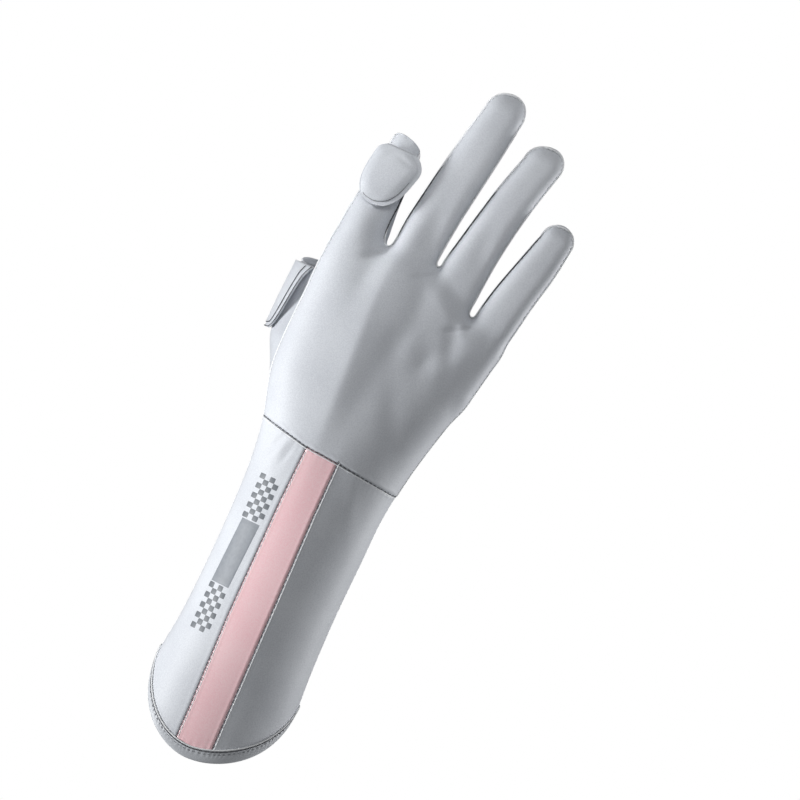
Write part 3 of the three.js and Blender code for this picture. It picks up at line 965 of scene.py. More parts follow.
PALM_FOLDS = table(
    FOLD,
    (-12.0, 176.0, -24, 26.0, 3.2, -0.9),
    (8.0, 196.0, 78, 24.0, 2.4, -0.5),
    (-18.0, 199.0, 70, 12.0, 2.2, -0.5),
    (-16.0, 216.0, 0, 9.0, 3.0, -0.7),
    (6.3, 216.0, 0, 9.0, 3.0, -0.7),
    (27.5, 204.0, -10, 8.0, 3.0, -0.6),
    (0.0, 140.0, 84, 22.0, 2.0, -0.35),
    (4.0, 128.5, 94, 16.0, 2.2, -0.45),
    (-10.0, 122.0, 86, 12.0, 1.8, 0.3),
    (14.0, 119.0, 98, 11.0, 2.0, -0.35),
    (-14.0, 150.0, -30, 12.0, 2.0, -0.4),
    (-9.0, 160.0, -26, 13.0, 2.0, 0.3),
    (20.0, 150.0, 14, 16.0, 3.0, 0.3),
    (-4.0, 238.0, 90, 6.0, 1.4, -0.4),
    (-1.0, 262.0, 90, 6.0, 1.3, -0.35),
    (20.0, 236.0, 90, 6.0, 1.4, -0.4),
    (23.0, 257.0, 90, 6.0, 1.3, -0.3),
    (38.0, 222.0, 90, 5.5, 1.3, -0.35),
    (-27.0, 232.0, 90, 6.0, 1.4, -0.35),
    (10.0, 62.0, 80, 14.0, 3.0, 0.3),
    (-12.0, 88.0, 100, 14.0, 3.0, -0.3),
)
# The folds of the back give way to those of the palm over this distance each way from the side seams
FOLDS_MEET = 2.0
# The cloth beside a seam: how broad it is turned in, the height, place and breadth of its low lip, and
# the depth of the turn on the hand and on the cuff
SEAM = dict(wide=0.55, lip=0.12, lip_at=1.15, lip_wide=0.6, hand=0.5, cuff=0.32)
# The puckers along it: their height, pitch and reach, how unevenly they come, the bare edge, and the
# slant of the way that they are counted along on the hand
PUCKER = dict(high=0.07, pitch=2.7, reach=2.0, sway=1.3, drift=0.37, bare=0.4, slant=0.6)


def fold_height(folds, x, z):
    """Height of a list of folds at places seen from the front."""
    total = 0
    for fold in folds:
        turn = math.radians(fold["turn"])
        off_x, off_z = x - fold["x"], z - fold["z"]
        length = off_z * math.cos(turn) + off_x * math.sin(turn)
        width = off_x * math.cos(turn) - off_z * math.sin(turn)
        edge = fold.get("edge")
        if edge:
            across = np.exp((edge - np.hypot(width, edge)) / fold["wide"])
        else:
            across = bell(width, fold["wide"])
        total = total + fold["high"] * bell(length, fold["long"]) * across
    return total


def folded(points):
    """Height of the folds at places on the glove."""
    x, y, z = np.moveaxis(points, -1, 0)
    to_palm = smooth_step(y - seam_depth(z), -FOLDS_MEET, FOLDS_MEET)
    return (1 - to_palm) * fold_height(BACK_FOLDS, x, z) + to_palm * fold_height(PALM_FOLDS, x, z)


def seam_shape(gap, along_it, deep):
    """Height of the cloth beside a seam: turned in at the seam, with a low lip and small puckers."""
    turned_in = -deep * bell(gap, SEAM["wide"])
    lip = SEAM["lip"] * bell(gap - SEAM["lip_at"], SEAM["lip_wide"])
    sway = PUCKER["sway"] * np.sin(along_it * PUCKER["drift"])
    wave = np.sin(2 * np.pi * along_it / PUCKER["pitch"] + sway)
    fading = np.exp(-gap / PUCKER["reach"]) * (1 - bell(gap, PUCKER["bare"]))
    return turned_in + lip + PUCKER["high"] * wave * fading


def skin_cloth(name, panel_mesh, gaps, node, material=GREY):
    """A panel of the hand with its folds, its thickness and its edges turned in at the seams."""
    points, faces = panel_mesh
    normals = unit(skin.slope(points))
    height = folded(points)
    along_it = points[:, 2] + PUCKER["slant"] * points[:, 0]
    for gap in gaps:
        height = height + seam_shape(np.abs(gap(points)), along_it, SEAM["hand"])
    stock = Stock()
    stock.add_shell(points + normals * height[:, None], faces, normals, WALL)
    return stock.piece(name, material, node)


palm_stitch = raised(below_palm_hem, PALM_HEM["fold"])
thumb_stitch = raised(past_thumb_rim, TUBE_HEM)
hand_back = skin_cloth("hand_back_cloth", back_panel, (from_seam, from_wrist, from_thumb), "hand_back")
palm = skin_cloth("palm_cloth", palm_panel, (from_seam, from_thumb, palm_stitch), "palm")
# The thumb's cloth is the darker copy of the grey knit, as painted shade.
thumb_piece = skin_cloth("thumb_cloth", thumb_panel, (from_thumb, thumb_stitch), "thumb", THUMB_SHADED_GREY)


# The panels of the cuff

# The step between its points, a height in the middle of its panels, their length, and the share by
# which more points are taken across
CUFF = dict(step=0.6, middle=70.0, long=130, spare=1.2)


def at_turn(degrees):
    return lambda z: np.full(np.shape(z), degrees)


def up_line(line):
    return lambda z: back_turn(across_line(line, z), z)


side_of_thumb, side_of_little = at_turn(180.0), at_turn(360.0)
left_of_stripe, right_of_stripe = up_line(STRIPE_LEFT), up_line(STRIPE_RIGHT)


def cuff_panel(name, start, end, material, node, slot="grey_cloth"):
    """A panel between two lines round the cuff, from the binding up to the wrist seam."""
    ends = [cuff_point(side(CUFF["middle"]), CUFF["middle"]) for side in (start, end)]
    wide = np.linalg.norm(ends[1] - ends[0]) * CUFF["spare"]
    across = np.linspace(0, 1, int(wide / CUFF["step"]))[:, None]
    up = np.linspace(0, 1, int(CUFF["long"] / CUFF["step"]))[None, :]
    z = np.full((across.size, up.size), CUFF["middle"])
    for _ in range(ROUNDS):
        degrees = start(z) + (end(z) - start(z)) * across
        low = band_height(degrees, 1)
        high = on_line(WRIST_SEAM, cuff_point(degrees, z)[..., 0])
        z = low + (high - low) * up
    points = cuff_point(degrees, z)
    steps = np.linalg.norm(np.diff(points, axis=0), axis=-1)
    from_left = np.concatenate([np.zeros((1, up.size)), np.cumsum(steps, axis=0)])
    height = folded(points)
    for gap, along_it in ((from_left, z), (from_left[-1:] - from_left, z), (z - low, from_left),
                          (high - z, from_left)):
        height = height + seam_shape(gap, along_it, SEAM["cuff"])
    normals = cuff_normal(degrees, z)
    points = points + normals * height[..., None]
    stock = Stock()
    stock.add_shell(points.reshape(-1, 3), grid_faces(*z.shape), normals.reshape(-1, 3), WALL)
    return stock.piece(name, material, node, slot=slot)


cuff_thumb = cuff_panel("cuff_thumb_panel", side_of_thumb, left_of_stripe, GREY, "cuff_thumb_side")
cuff_stripe = cuff_panel(
    "cuff_pink_stripe", left_of_stripe, right_of_stripe, PINK, "cuff_stripe", "pink_cloth")
cuff_little = cuff_panel("cuff_little_panel", right_of_stripe, side_of_little, GREY, "cuff_little_side")


# The binding round the tongue

# Its section: how far up the band, from 0 at its lower edge to 1 at the seam, and how far out of the
# cuff's surface
BINDING = [
    (0.00, 0.10), (0.06, 0.42), (0.25, 0.52), (0.50, 0.50), (0.72, 0.40), (0.84, 0.42), (0.92, 0.66),
    (1.00, 0.62), (1.05, 0.20), (1.04, -0.50), (0.90, -1.05), (0.50, -1.20), (0.20, -1.15), (0.04, -0.80),
    (-0.02, -0.30),
]
# Its faint ripples: their height, how fast and how unevenly they come, and where they start up the band
RIPPLE = dict(high=0.07, pace=1.9, sway=1.4, drift=0.31, start=(0.3, 0.8))


def rounded_loop(corners, count, rounds):
    """A closed loop of points through corners, with the corners softened."""
    corners = np.array(corners + corners[:1], float)
    places = np.linspace(0, len(corners) - 1, count, endpoint=False)
    loop = np.stack([np.interp(places, np.arange(len(corners)), corners[:, d]) for d in range(2)], -1)
    for _ in range(rounds):
        loop = 0.25 * np.roll(loop, 1, axis=0) + 0.5 * loop + 0.25 * np.roll(loop, -1, axis=0)
    return loop


def band_place(degrees, share, out):
    """Places on the band round the tongue."""
    z = band_height(degrees, share)
    return cuff_point(degrees, z) + cuff_normal(degrees, z) * np.asarray(out)[..., None]


turns = np.linspace(180, 360, num=330)
section = rounded_loop(BINDING, count=45, rounds=2)
wave = np.sin(turns * RIPPLE["pace"] + RIPPLE["sway"] * np.sin(turns * RIPPLE["drift"]))[:, None]
wave = RIPPLE["high"] * wave * smooth_step(section[:, 0], *RIPPLE["start"])
stock = Stock()
stock.add_tube(band_place(turns[:, None], section[:, 0], section[:, 1] + wave)[:, ::-1])
binding = stock.piece("tongue_binding", BAND_CLOTH, "hem_binding")


# The two turned-back caps, each a flat pocket of two layers with a flange round its seam

# The half thickness of the flange, how the pocket wraps round what it lies on and how far off it lies,
# its cloth's thickness, how far in from the flange it is full and how round it is there, the step
# beside the flange and where that step rises
CAP = dict(flange=0.42, wrap=0.011, lift=0.5, wall=0.4, puff=4.0, round=2.2, step=0.55, edge=(-0.1, 0.45))
# How many points a cap has up it, across it and along its foot, and how they crowd towards the foot
CAP_POINTS = dict(up=56, across=45, foot=14, crowd=1.6)
# Outlines of the caps seen from outside, and how thick the flat pocket is at each height
INDEX_CAP_ROWS = table(
    "z left right thick",
    (236.8, -29.2, -26.8, 1.9),
    (237.6, -33.2, -24.2, 2.6),
    (240.0, -35.8, -21.3, 3.6),
    (244.0, -37.5, -18.7, 4.4),
    (250.0, -37.7, -16.7, 4.8),
    (256.0, -36.9, -15.5, 4.6),
    (260.0, -35.8, -17.4, 3.8),
    (262.2, -32.6, -20.4, 3.0),
)
THUMB_CAP_ROWS = table(
    "z left right thick",
    (173.2, -26.2, -15.4, 1.9),
    (174.0, -30.0, -13.0, 2.6),
    (178.0, -33.2, -11.9, 3.8),
    (184.0, -35.2, -11.5, 4.2),
    (192.0, -36.4, -11.5, 3.8),
    (199.0, -36.8, -12.8, 3.0),
    (203.6, -35.4, -15.0, 2.4),
)
THUMB_CAP_FACE = table("z x", (173, -49.8), (185, -49.8), (196, -49.6), (204, -49.4))


def index_face(z):
    half = along(FINGERS["index"]["rows"], "half", z)
    return seam_depth(z) - half - CAP["lift"] - along(INDEX_CAP_ROWS, "thick", z)


def thumb_face(z):
    return along(THUMB_CAP_FACE, "x", z)


def as_it_is(points):
    return points


def turned(points):
    """Places on the thumb's cap, seen from the thumb's side, turned into the glove's frame."""
    u, v, z = np.moveaxis(points, -1, 0)
    return np.stack([v, -u, z], axis=-1)


def cap_rows(cap):
    """Heights up a cap and its left and right edges at each."""
    low, high = cap["rows"][0]["z"], cap["rows"][-1]["z"]
    z = low + (high - low) * np.linspace(0, 1, CAP_POINTS["up"]) ** CAP_POINTS["crowd"]
    return z, along(cap["rows"], "left", z), along(cap["rows"], "right", z)


def cap_edge(cap):
    """A cap's outline from its top left round to its top right, and the seam's breadth at each point."""
    z, left, right = cap_rows(cap)
    foot = np.linspace(left[0], right[0], CAP_POINTS["foot"])[1:-1]
    edge_u = np.concatenate([left[::-1], foot, right])
    edge_z = np.concatenate([z[::-1], np.full(foot.shape, z[0]), z])
    flanges = cap["flanges"]
    flange = np.interp(np.linspace(0, 1, len(edge_u)), np.linspace(0, 1, len(flanges)), flanges)
    return np.stack([edge_u, edge_z], axis=-1), flange


def cap_layers(cap, u, z):
    """The middle of a cap's pocket, and how far its outer and inner layers lie from it."""
    row = row_at(cap["rows"], z)
    edge, flange = cap_edge(cap)
    gaps = np.hypot(u[..., None] - edge[:, 0], z[..., None] - edge[:, 1])
    gap = gaps.min(-1) - flange[gaps.argmin(-1)]
    swell = 1 - (1 - np.clip(gap / CAP["puff"], 0, 1)) ** CAP["round"]
    thick = row["thick"] * cap["thin"]
    half = thick / 2 - CAP["flange"]
    stepped = CAP["step"] * smooth_step(gap, *CAP["edge"])
    creases = fold_height(cap["creases"], u, z) * np.clip(gap, 0, 1)
    outer = CAP["flange"] + stepped + (half - CAP["step"]) * swell + creases
    inner = CAP["flange"] + half * swell
    middle = cap["face"](z) + thick / 2 + CAP["wrap"] * (u - middle_and_half(row)[0]) ** 2
    share = np.clip((u - row["left"]) / (row["right"] - row["left"]), 0, 1)
    return middle + along(cap["bends"], "bend", z) * share ** cap["power"], outer, inner


def cap_piece(name, cap, node, material):
    """The pocket, as rows up it of points all round it."""
    z, left, right = (values[:, None] for values in cap_rows(cap))
    share = np.sin(np.linspace(-np.pi / 2, np.pi / 2, CAP_POINTS["across"]))
    u = (left + right) / 2 + (right - left) / 2 * share
    z = np.broadcast_to(z, u.shape)
    middle, outer, inner = cap_layers(cap, u, z)
    loop_u = np.concatenate([u, u[:, ::-1][:, 1:-1]], axis=1)
    loop_v = np.concatenate([middle - outer, (middle + inner)[:, ::-1][:, 1:-1]], axis=1)
    loop_z = np.broadcast_to(z[:, :1], loop_u.shape)
    points = cap["place"](np.stack([loop_u, loop_v, loop_z], axis=-1))
    faces = grid_faces(*points.shape[:2], looped=True)
    flat = points.reshape(-1, 3)
    normals = vertex_normals(flat, triangles(faces))
    if ((flat - flat.mean(0)) * normals).sum() < 0:
        faces, normals = faces[:, ::-1], -normals
    stock = Stock()
    stock.add_shell(flat, faces, normals, CAP["wall"])
    return stock.piece(name, material, node)


def cap_line(cap, inset, out, low, high, step=0.5):
    """A line on a cap's outer face from a share of the way round to another, inset in seam breadths."""
    edge, flange = cap_edge(cap)
    edge = softened(edge, rounds=6)
    ahead = unit(np.gradient(edge, axis=0))
    inward = np.stack([-ahead[:, 1], ahead[:, 0]], axis=-1)
    line = softened(edge + inward * (inset * flange)[:, None], rounds=4)
    line = line[int(low * len(line)):int(high * len(line))]
    middle, outer, _ = cap_layers(cap, line[:, 0], line[:, 1])
    points = np.stack([line[:, 0], middle - outer - out, line[:, 1]], axis=-1)
    normals = np.broadcast_to([0.0, -1.0, 0.0], points.shape)
    return resampled(cap["place"](points), cap["place"](normals), step)


# How each cap is made: its outline, the depth of its face, how its places are turned, the breadth of
# its seam from one end to the other, a share of the thickness, how far its far side is bent at each
# height and how sharply, and its creases
INDEX_CAP = dict(
    rows=INDEX_CAP_ROWS, face=index_face, place=as_it_is, flanges=(0.5, 0.5, 0.9, 1.6, 1.7, 1.5), thin=1.0,
    power=1, bends=table("z bend", (237, -1.3), (262, -1.3)), creases=table(
        FOLD,
        (-21.6, 259.4, 98, 3.6, 0.9, 0.3),
        (-22.4, 257.4, 104, 4.0, 1.1, -0.3),
        (-18.6, 253.0, 10, 4.0, 0.9, 0.2),
        (-31.0, 257.0, 40, 5.0, 1.2, -0.3),
        (-26.0, 243.0, 60, 6.0, 2.0, -0.25),
    ))
THUMB_CAP = dict(
    rows=THUMB_CAP_ROWS, face=thumb_face, place=turned, flanges=(1.2, 1.2, 1.4, 1.9, 1.9, 1.6), thin=0.62,
    power=3, bends=table("z bend", (173, 1.5), (188, 2.4), (198, 4.0), (204, 7.0)), creases=[])
index_cap = cap_piece("index_turned_back_cap", INDEX_CAP, "index_flap", GREY)
# The thumb's cap also takes the darker copy of the grey knit, as painted shade.
thumb_cap = cap_piece("thumb_turned_back_cap", THUMB_CAP, "thumb_flap", THUMB_SHADED_GREY)


# Seam lines on the hand: the whiter ridges along them are painted highlight and the dark lines beside them
# painted shade

def edge_runs(panel_mesh, measure, near=0.08, least=6.0):
    """The parts of a panel's edges that lie along a seam, as smooth lines of points."""
    points, faces = panel_mesh
    on_seam = np.abs(measure(points)) < near
    runs = []
    for chain in rims(faces):
        chain = np.array(chain)
        if not on_seam[chain].all():
            chain = np.roll(chain[:-1], -int(np.argmin(on_seam[chain])))
        for part in stretches(on_seam[chain], least=5):
            line = softened(points[chain[part]], rounds=8)
            if np.linalg.norm(np.diff(line, axis=0), axis=1).sum() > least:
                runs.append(line)
    return runs


def stretches(flags, least):
    """The numbers of the points in each unbroken run of true flags, where it has enough points."""
    breaks = np.flatnonzero(np.diff(flags.astype(int))) + 1
    parts = np.split(np.arange(len(flags)), breaks)
    return [part for part in parts if flags[part[0]] and len(part) >= least]


def skin_line(line, out=0.0, step=0.8):
    """A line laid on the skin with points a step apart, and the normals under it."""
    line = drawn_to(line, skin, rounds=2)
    line, normals = resampled(line, unit(skin.slope(line)), step)
    return line + normals * (folded(line) + out)[:, None], normals


def beside(line, measure, gap, step=0.8, probe=0.5, onward=0.2):
    """A line moved along the skin to the side where a measure falls, as far as it still runs onward."""
    line, normals = resampled(line, unit(skin.slope(line)), step)
    _, across = frames(line, normals)
    falls = measure(line + across * probe) < measure(line - across * probe)
    sign = 1 if falls.mean() > 0.5 else -1
    moved = drawn_to(line + across * gap * sign, skin, rounds=2)
    ahead = (np.gradient(moved, axis=0) * np.gradient(line, axis=0)).sum(-1) > onward
    return moved[ahead]


side_lines = edge_runs(back_panel, from_seam)
thumb_lines = edge_runs(thumb_panel, from_thumb)
thumb_rims = edge_runs(thumb_panel, past_thumb_rim)
index_rims = edge_runs(back_panel, past_index_rim) + edge_runs(palm_panel, past_index_rim)
palm_hems = edge_runs(palm_panel, below_palm_hem)

# The ridges along the side seams and the thumb's seam are drawn in the whiter knit as painted highlight.
stock = Stock()
for line in side_lines:
    strand(stock, *skin_line(line, out=0.02), wide=0.42, high=0.5)
for line in thumb_lines:
    strand(stock, *skin_line(line, out=-0.25), wide=0.36, high=0.36)
side_ridge_highlight = stock.piece("side_seam_ridge_painted_highlight", SEAM_HIGHLIGHT_CLOTH)

stock = Stock()
for line in thumb_rims + index_rims + palm_hems:
    strand(stock, *skin_line(line, out=-0.30), wide=0.46, high=0.5)
tube_hems = stock.piece("rolled_rims", GREY)

stock = Stock()
for line in side_lines:
    row = skin_line(beside(line, from_seam, gap=1.5))
    stitches(stock, *row, pitch=1.9, long=1.1, thick=0.11, lift=0.02)
hand_stitching = stock.piece("hand_stitches", PALE_THREAD)

# The dark strand in the flanks of the fingers, painted shadow along their seams: how far beside the seam and
# out of the cloth it lies, its radius, the lowest and highest place, how deep it sinks in at its ends, from
# which share of its half length on, and its fewest points
FLANK = dict(beside=0.45, out=0.2, radius=0.3, low=205, high=268, sink=0.8, sinks=0.6, least=13)
# The left sides are to the right of a place and the index finger's right side is to the left of one,
# and their cloth faces this much to the side
LEFT_SIDES = dict(x=-16, facing=-0.45)
INDEX_RIGHT = dict(x=-13, facing=0.1)


def flank_parts(line, normals):
    """The parts of a seam line on the index finger's right side and the others' left sides."""
    x, z = line[:, 0], line[:, 2]
    left_sides = (normals[:, 0] < LEFT_SIDES["facing"]) & (x > LEFT_SIDES["x"])
    index_side = (normals[:, 0] > INDEX_RIGHT["facing"]) & (x < INDEX_RIGHT["x"])
    on_it = (left_sides | index_side) & (z > FLANK["low"]) & (z < FLANK["high"])
    return stretches(on_it, FLANK["least"])


# Each finger's flank gets a dark strand as painted shadow beside its seam.
stock = Stock()
for line in side_lines:
    points, normals = skin_line(beside(line, from_seam, FLANK["beside"]), FLANK["out"], step=0.5)
    for part in flank_parts(points, normals):
        to_end = np.abs(np.linspace(-1, 1, len(part)))[:, None]
        sunk = normals[part] * FLANK["sink"] * smooth_step(to_end, FLANK["sinks"], 1.0)
        strand(stock, points[part] - sunk, normals[part], FLANK["radius"], FLANK["radius"], sides=6)
flank_painted_shadow = stock.piece("finger_flank_painted_shadow", DARK_THREAD_AND_SEAM_SHADE)

# A thin grey line beside each finger seam, sunk in the cloth: painted shade of the seam's groove.
stock = Stock()
for line in side_lines:
    row = skin_line(beside(line, from_seam, gap=0.66), out=-0.3, step=0.5)
    strand(stock, *row, wide=0.09, high=0.1, sides=6)
finger_shade_lines = stock.piece("finger_seam_painted_shade", MIDDLE_THREAD_AND_SEAM_SHADE)

# The dark lines along the caps' seams are thread drawn dark as painted shade under the caps' edges.
stock = Stock()
for inset, out in ((0.06, -0.05), (1.12, 0.02)):
    strand(stock, *cap_line(THUMB_CAP, inset, out, low=0.48, high=1.0), wide=0.25, high=0.22, sides=6)
strand(stock, *cap_line(INDEX_CAP, 1.12, -0.02, low=0.36, high=0.86), wide=0.13, high=0.13, sides=6)
cap_seams_and_painted_shade = stock.piece("cap_seam_threads_and_painted_shade", DARK_THREAD_AND_SEAM_SHADE)


# Seam lines on the cuff, whose dark threads are partly painted shade and whose whiter edges painted
# highlight, and the hem's on the palm

STRIPE_TOP = 134.5
# The heights from which those of the wrist's seam and of the stripe's end are worked out
FIRST = dict(wrist=135.0, stripe=10.0)


def folded_cuff(degrees, z, out=0.0):
    """Places on the cuff with its folds, and the normals under them."""
    points, normals = cuff_point(degrees, z), cuff_normal(degrees, z)
    return points + normals * (folded(points) + out)[..., None], normals


def cuff_line(start, low, high, out, count=220):
    """A line up the cuff."""
    z = np.linspace(low, high, count)
    return folded_cuff(start(z), z, out)


def wrist_line(out, count=240):
    """The seam between the hand and the cuff, round the back."""
    degrees = np.linspace(180, 360, count)
    z = np.full(degrees.shape, FIRST["wrist"])
    for _ in range(ROUNDS):
        z = on_line(WRIST_SEAM, cuff_point(degrees, z)[:, 0])
    return folded_cuff(degrees, z, out)


def end_of_stripe(start):
    """Where a seam of the stripe meets the binding."""
    z = FIRST["stripe"]
    for _ in range(ROUNDS):
        z = float(band_height(start(np.array(z)), 1))
    return z


def to_right(points, normals, gap):
    """A line on the cuff moved to its right, seen along the line from outside."""
    _, across = frames(points, normals)
    return points + across * gap, normals


def band_line(share, out):
    """A line round the binding, at a share of its height and this far out of the cuff's surface."""
    return band_place(seam_turns, share, out), seam_normals


EDGE = dict(out=0.02, wide=0.2, high=0.2)  # the edges of the folded cloth beside the seams, drawn whiter as painted highlight
seam_turns = np.linspace(181, 359, num=320)
seam_normals = cuff_normal(seam_turns, tongue_end(seam_turns))

# The dark stock's stitches and line are thread drawn dark as painted shade in the seams.
dark, light = Stock(), Stock()
stitches(dark, *wrist_line(out=-0.1), pitch=2.2, long=1.8, thick=0.17)
# The light stock's edges are drawn in the whiter knit as painted highlight.
strand(light, *to_right(*wrist_line(EDGE["out"]), gap=0.62), EDGE["wide"], EDGE["high"])
for start in (left_of_stripe, right_of_stripe):
    seam = (start, end_of_stripe(start), STRIPE_TOP)
    stitches(dark, *cuff_line(*seam, out=-0.06), pitch=2.2, long=2.0, thick=0.15)
    strand(light, *to_right(*cuff_line(*seam, EDGE["out"]), gap=0.72), EDGE["wide"], EDGE["high"])
for start, top in ((side_of_thumb, 139.0), (side_of_little, 131.0)):
    stitches(dark, *cuff_line(start, low=36.0, high=top, out=-0.14), pitch=2.6, long=1.9, thick=0.13)
strand(dark, *band_line(share=0.95, out=0.6), wide=0.24, high=0.22)
strand(light, *band_line(share=1.08, out=0.35), wide=0.36, high=0.4)
dark_seams_and_painted_shade = dark.piece("dark_seams_and_painted_shade", DARK_THREAD_AND_SEAM_SHADE)
highlight_edges = light.piece("folded_seam_edges_painted_highlight", SEAM_HIGHLIGHT_CLOTH)

stock = Stock()
stitches(stock, *band_line(share=0.72, out=0.4), pitch=2.1, long=1.3, thick=0.12)
band_stitching = stock.piece("binding_stitches", MIDDLE_THREAD_AND_SEAM_SHADE)

stock = Stock()
for line in palm_hems:
    for gap in (3.7, 4.9):
        row = skin_line(beside(line, opposite(below_palm_hem), -gap))
        stitches(stock, *row, pitch=2.2, long=1.4, thick=0.14)
pale_stitching = stock.piece("palm_hem_stitches", PALE_THREAD)


# The print on the cuff: two fields of small squares with a plain bar between them

CHECKS = [
    dict(x=(-24.4, -15.6), z=(98.5, 117.8), columns=4, rows=9),
    dict(x=(-25.0, -17.0), z=(48.8, 69.0), columns=4, rows=9),
]
# The bar's lower and upper edge: where each starts, where it ends and its height
PRINT_BAR = dict(low=(-24.8, -17.0, 69.5), high=(-23.8, -15.9, 98.0))
# How far a patch stands out at its foot and on its face, where its rim starts, how far the squares
# overlap at their corners, and how much their corners are rounded
PATCH = dict(foot=0.02, face=0.07, rim=0.9, overlap=1.06, round=0.05)


def patch(stock, low, high, cells, corner=0.0):
    """A thin raised patch on the cuff between a lower and an upper edge."""
    (x0, x1, z0), (x2, x3, z1) = low, high
    s, t = np.meshgrid(np.linspace(-1, 1, cells), np.linspace(-1, 1, cells), indexing="ij")
    shrink = 1 - corner * np.minimum(np.abs(s), np.abs(t)) ** 2
    s, t = s * shrink, t * shrink
    out = np.where(np.maximum(np.abs(s), np.abs(t)) > PATCH["rim"], PATCH["foot"], PATCH["face"])
    s, t = (1 + s) / 2, (1 + t) / 2
    x = (x0 * (1 - s) + x1 * s) * (1 - t) + (x2 * (1 - s) + x3 * s) * t
    z = z0 * (1 - t) + z1 * t
    stock.add(folded_cuff(back_turn(x, z), z, out)[0], grid_faces(cells, cells))


stock = Stock()
for field in CHECKS:
    (x0, x1), (z0, z1) = field["x"], field["z"]
    wide, tall = (x1 - x0) / field["columns"], (z1 - z0) / field["rows"]
    for column in range(field["columns"]):
        for row in range(field["rows"]):
            if (column + row) % 2:
                continue
            left, low = x0 + column * wide, z0 + row * tall
            right, high = left + wide * PATCH["overlap"], low + tall * PATCH["overlap"]
            patch(stock, (left, right, low), (left, right, high), cells=5, corner=PATCH["round"])
checks = stock.piece("cuff_checks", PRINT)

stock = Stock()
patch(stock, PRINT_BAR["low"], PRINT_BAR["high"], cells=40)
plain_bar = stock.piece("cuff_plain_bar", BAR)


# The grips on the palm: the outline of each patch of dots, as (x, z)

GRIPS = {
    "grip_ring": [(11.5, 181), (17.5, 180.5), (20.5, 185), (20.5, 196), (17, 201), (12, 200.5), (9.5, 195),
                  (9.5, 186)],
    "grip_little": [(26, 177.5), (32, 176.5), (35.5, 181), (36.5, 192), (33.5, 196.5), (28, 196.5),
                    (25, 191), (24, 182)],
    "grip_heel": [(3, 134), (8, 131.5), (22.5, 132), (25.5, 136), (32, 163), (31, 168), (27, 168.5)],
    "grip_strip_lower": [(-8.4, 142.2), (-4.6, 138.6), (3, 147.2), (-0.8, 150.8)],
    "grip_strip_upper": [(13.4, 166.2), (17.2, 162.6), (24.8, 171.2), (21, 174.8)],
}
# A dot's shape: the share of its radius and its height, from its foot to its middle
DOT = [(1.02, -0.1), (0.99, 0.2), (0.9, 0.36), (0.72, 0.42), (0.4, 0.36), (0.0, 0.33)]
DOT_SIDES = 12
DOT_SIZES = dict(
    grip_heel=dict(pitch=5.2, radius=2.55),
    grip_ring=dict(pitch=4.0, radius=1.95),
    grip_little=dict(pitch=4.0, radius=1.95))
# The round dots of the two strips: shares of the way across and along, and the radius
STRIP = dict(across=(0.17, 0.5, 0.83), along=np.linspace(0.07, 0.93, 6), radius=0.75)
CELL = dict(start=0.35, inset=0.34)  # where a lattice starts and how far its dots stay inside, in pitches
PALM_REACH = dict(far=40.0, halvings=22)  # how far the skin of the palm is looked for, and how finely


def palm_place(x, z, out):
    """Places on the palm, by x and z."""
    low = np.stack([x, seam_depth(z), z], axis=-1)
    high = low + np.array([0, PALM_REACH["far"], 0])
    for _ in range(PALM_REACH["halvings"]):
        middle = (low + high) / 2
        outside = skin.at(middle)[:, None] > 0
        low, high = np.where(outside, low, middle), np.where(outside, middle, high)
    return middle + unit(skin.slope(middle)) * (folded(middle) + out)[:, None]


def within(outline, x, z, inset):
    """Whether a place lies inside an outline by at least this much."""
    inside = False
    gaps = []
    for (ax, az), (bx, bz) in zip(outline, outline[1:] + outline[:1]):
        if (az > z) != (bz > z) and x < ax + (z - az) / (bz - az) * (bx - ax):
            inside = not inside
        t = ((x - ax) * (bx - ax) + (z - az) * (bz - az)) / ((bx - ax) ** 2 + (bz - az) ** 2)
        t = min(1.0, max(0.0, t))
        gaps.append(math.hypot(x - ax - t * (bx - ax), z - az - t * (bz - az)))
    return inside and min(gaps) > inset


def raised_dots(stock, places, radius, side_share=1.0):
    """Raised dots on the palm, six-sided with soft corners where the sides' share is below 1."""
    number = np.arange(DOT_SIDES)
    turn = 2 * np.pi * number / DOT_SIDES
    reach = radius * np.where(number % 2, side_share, 1.0)
    share, high = np.array(DOT).T
    for cx, cz in places:
        x = cx + share[:, None] * reach * np.cos(turn)
        z = cz + share[:, None] * reach * np.sin(turn)
        points = palm_place(x.ravel(), z.ravel(), np.repeat(high, DOT_SIDES))
        stock.add(points, grid_faces(len(DOT), DOT_SIDES, looped=True)[:, ::-1])


def lattice(outline, pitch):
    """Places in a honeycomb inside an outline, its columns up the hand."""
    xs, zs = zip(*outline)
    places = []
    column = pitch * math.sqrt(3) / 2
    for i in range(int((max(xs) - min(xs)) / column) + 2):
        for j in range(int((max(zs) - min(zs)) / pitch) + 2):
            x = min(xs) + (i + CELL["start"]) * column
            z = min(zs) + (j + 0.5 * (i % 2)) * pitch
            if within(outline, x, z, CELL["inset"] * pitch):
                places.append((x, z))
    return places


def strip_places(outline):
    """Places in rows over a strip with four corners."""
    a, b, c, d = (np.array(corner) for corner in outline)
    return [
        (a * (1 - s) + b * s) * (1 - t) + (d * (1 - s) + c * s) * t
        for s in STRIP["across"] for t in STRIP["along"]
    ]


for name, outline in GRIPS.items():
    stock = Stock()
    if name in DOT_SIZES:
        size = DOT_SIZES[name]
        raised_dots(stock, lattice(outline, size["pitch"]), size["radius"], side_share=0.9)
    else:
        raised_dots(stock, strip_places(outline), STRIP["radius"])
    stock.piece(name + "_dots", GRIP, name, slot="grip")


# The stage, the lights and the camera

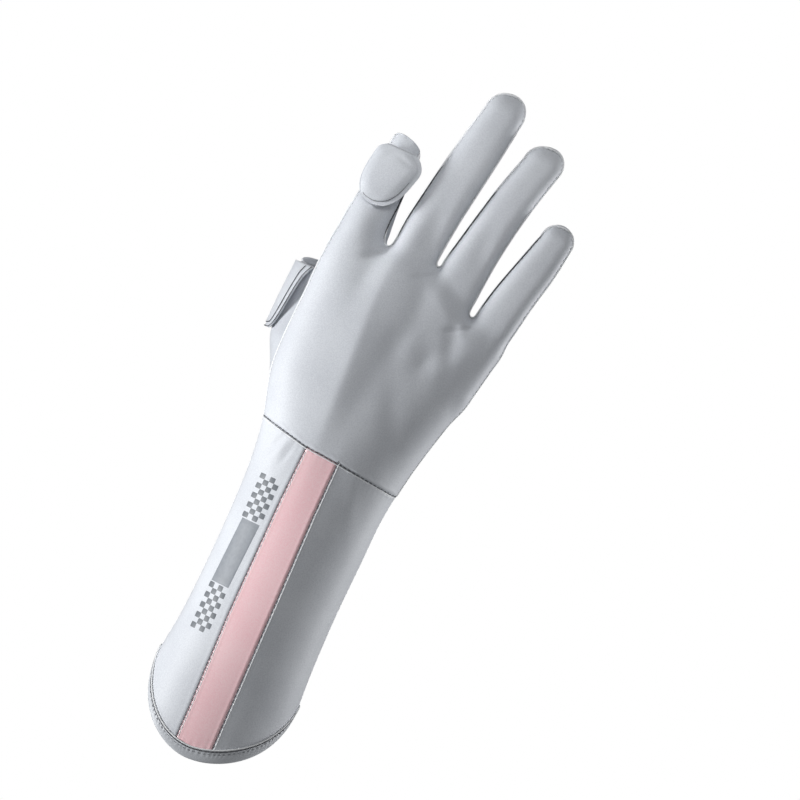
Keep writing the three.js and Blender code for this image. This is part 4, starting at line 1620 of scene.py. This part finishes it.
# The floor's height and how far it reaches each way, in metres
FLOOR = dict(height=-1.1, reach=7.0)
floor_mesh = bpy.data.meshes.new("floor")
reach = FLOOR["reach"]
corners = [(-reach, -reach), (reach, -reach), (reach, reach), (-reach, reach)]
floor_mesh.from_pydata([(x, y, FLOOR["height"]) for x, y in corners], [], [(0, 1, 2, 3)])
floor_mesh.materials.append(matte("pale_floor", shade(245, 245, 246), roughness=0.9, glow=0.8))
floor = into_scene("floor", floor_mesh)
floor.visible_diffuse = False
floor.visible_glossy = False

# Each light's place and the point that it faces, in metres, its size, its power in watts and the
# spread of its light in degrees
LIGHTS = dict(
    left_light=dict(place=(-0.88, -0.27, -0.05), aim=(-0.02, 0.0, 0.125), size=0.3, power=0.62, spread=40),
    finger_light=dict(place=(-0.05, -0.36, 0.44), aim=(-0.02, 0.0, 0.264), size=0.1, power=0.014, spread=24),
    right_rim_light=dict(place=(1.0, 0.36, 0.3), aim=(0.03, 0.0, 0.21), size=0.4, power=0.5, spread=44))
for name, row in LIGHTS.items():
    lamp = bpy.data.lights.new(name, "AREA")
    lamp.size = row["size"]
    lamp.energy = row["power"]
    lamp.spread = math.radians(row["spread"])
    made = into_scene(name, lamp)
    made.location = row["place"]
    facing = Vector(row["aim"]) - Vector(row["place"])
    made.rotation_euler = facing.to_track_quat("-Z", "Y").to_euler()

# The world is white to the camera and dimmer as a light
WHITE = (1.0, 1.0, 1.0, 1.0)
WORLD_LIGHT = 0.28
world = bpy.data.worlds.new("pale_studio")
world.use_nodes = True
sky = Nodes(world.node_tree)
dim = sky.node("ShaderNodeBackground", {}, {"Color": WHITE, "Strength": WORLD_LIGHT})
seen = sky.node("ShaderNodeBackground", {}, {"Color": WHITE})
from_camera = sky.node("ShaderNodeLightPath", output="Is Camera Ray")
mix = sky.node("ShaderNodeMixShader", {}, {0: from_camera, 1: dim, 2: seen})
sky.fill(sky.tree.nodes["World Output"], {"Surface": mix})
bpy.context.scene.world = world
bpy.context.scene.view_settings.view_transform = "Standard"

lean = math.radians(PHOTO["lean"])
right = np.array([math.cos(lean), 0, math.sin(lean)])
up = np.array([-math.sin(lean), 0, math.cos(lean)])
centre = PHOTO["size"] / 2
off = (centre - PHOTO["origin"][0]) * right - (centre - PHOTO["origin"][1]) * up
aim = off / PHOTO["scale"] * MM
lens = bpy.data.cameras.new("camera")
lens.lens = PHOTO["lens"]
lens.sensor_width = PHOTO["sensor"]
distance = PHOTO["size"] / PHOTO["scale"] * MM * PHOTO["lens"] / PHOTO["sensor"]
camera = into_scene("camera", lens)
axes = np.stack([right, up, np.array([0, -1, 0])], axis=1)
place = aim + np.array([0, PHOTO["plane"] * MM - distance, 0])
camera.matrix_world = Matrix([[*axes[row], place[row]] for row in range(3)] + [[0, 0, 0, 1]])
bpy.context.scene.camera = camera
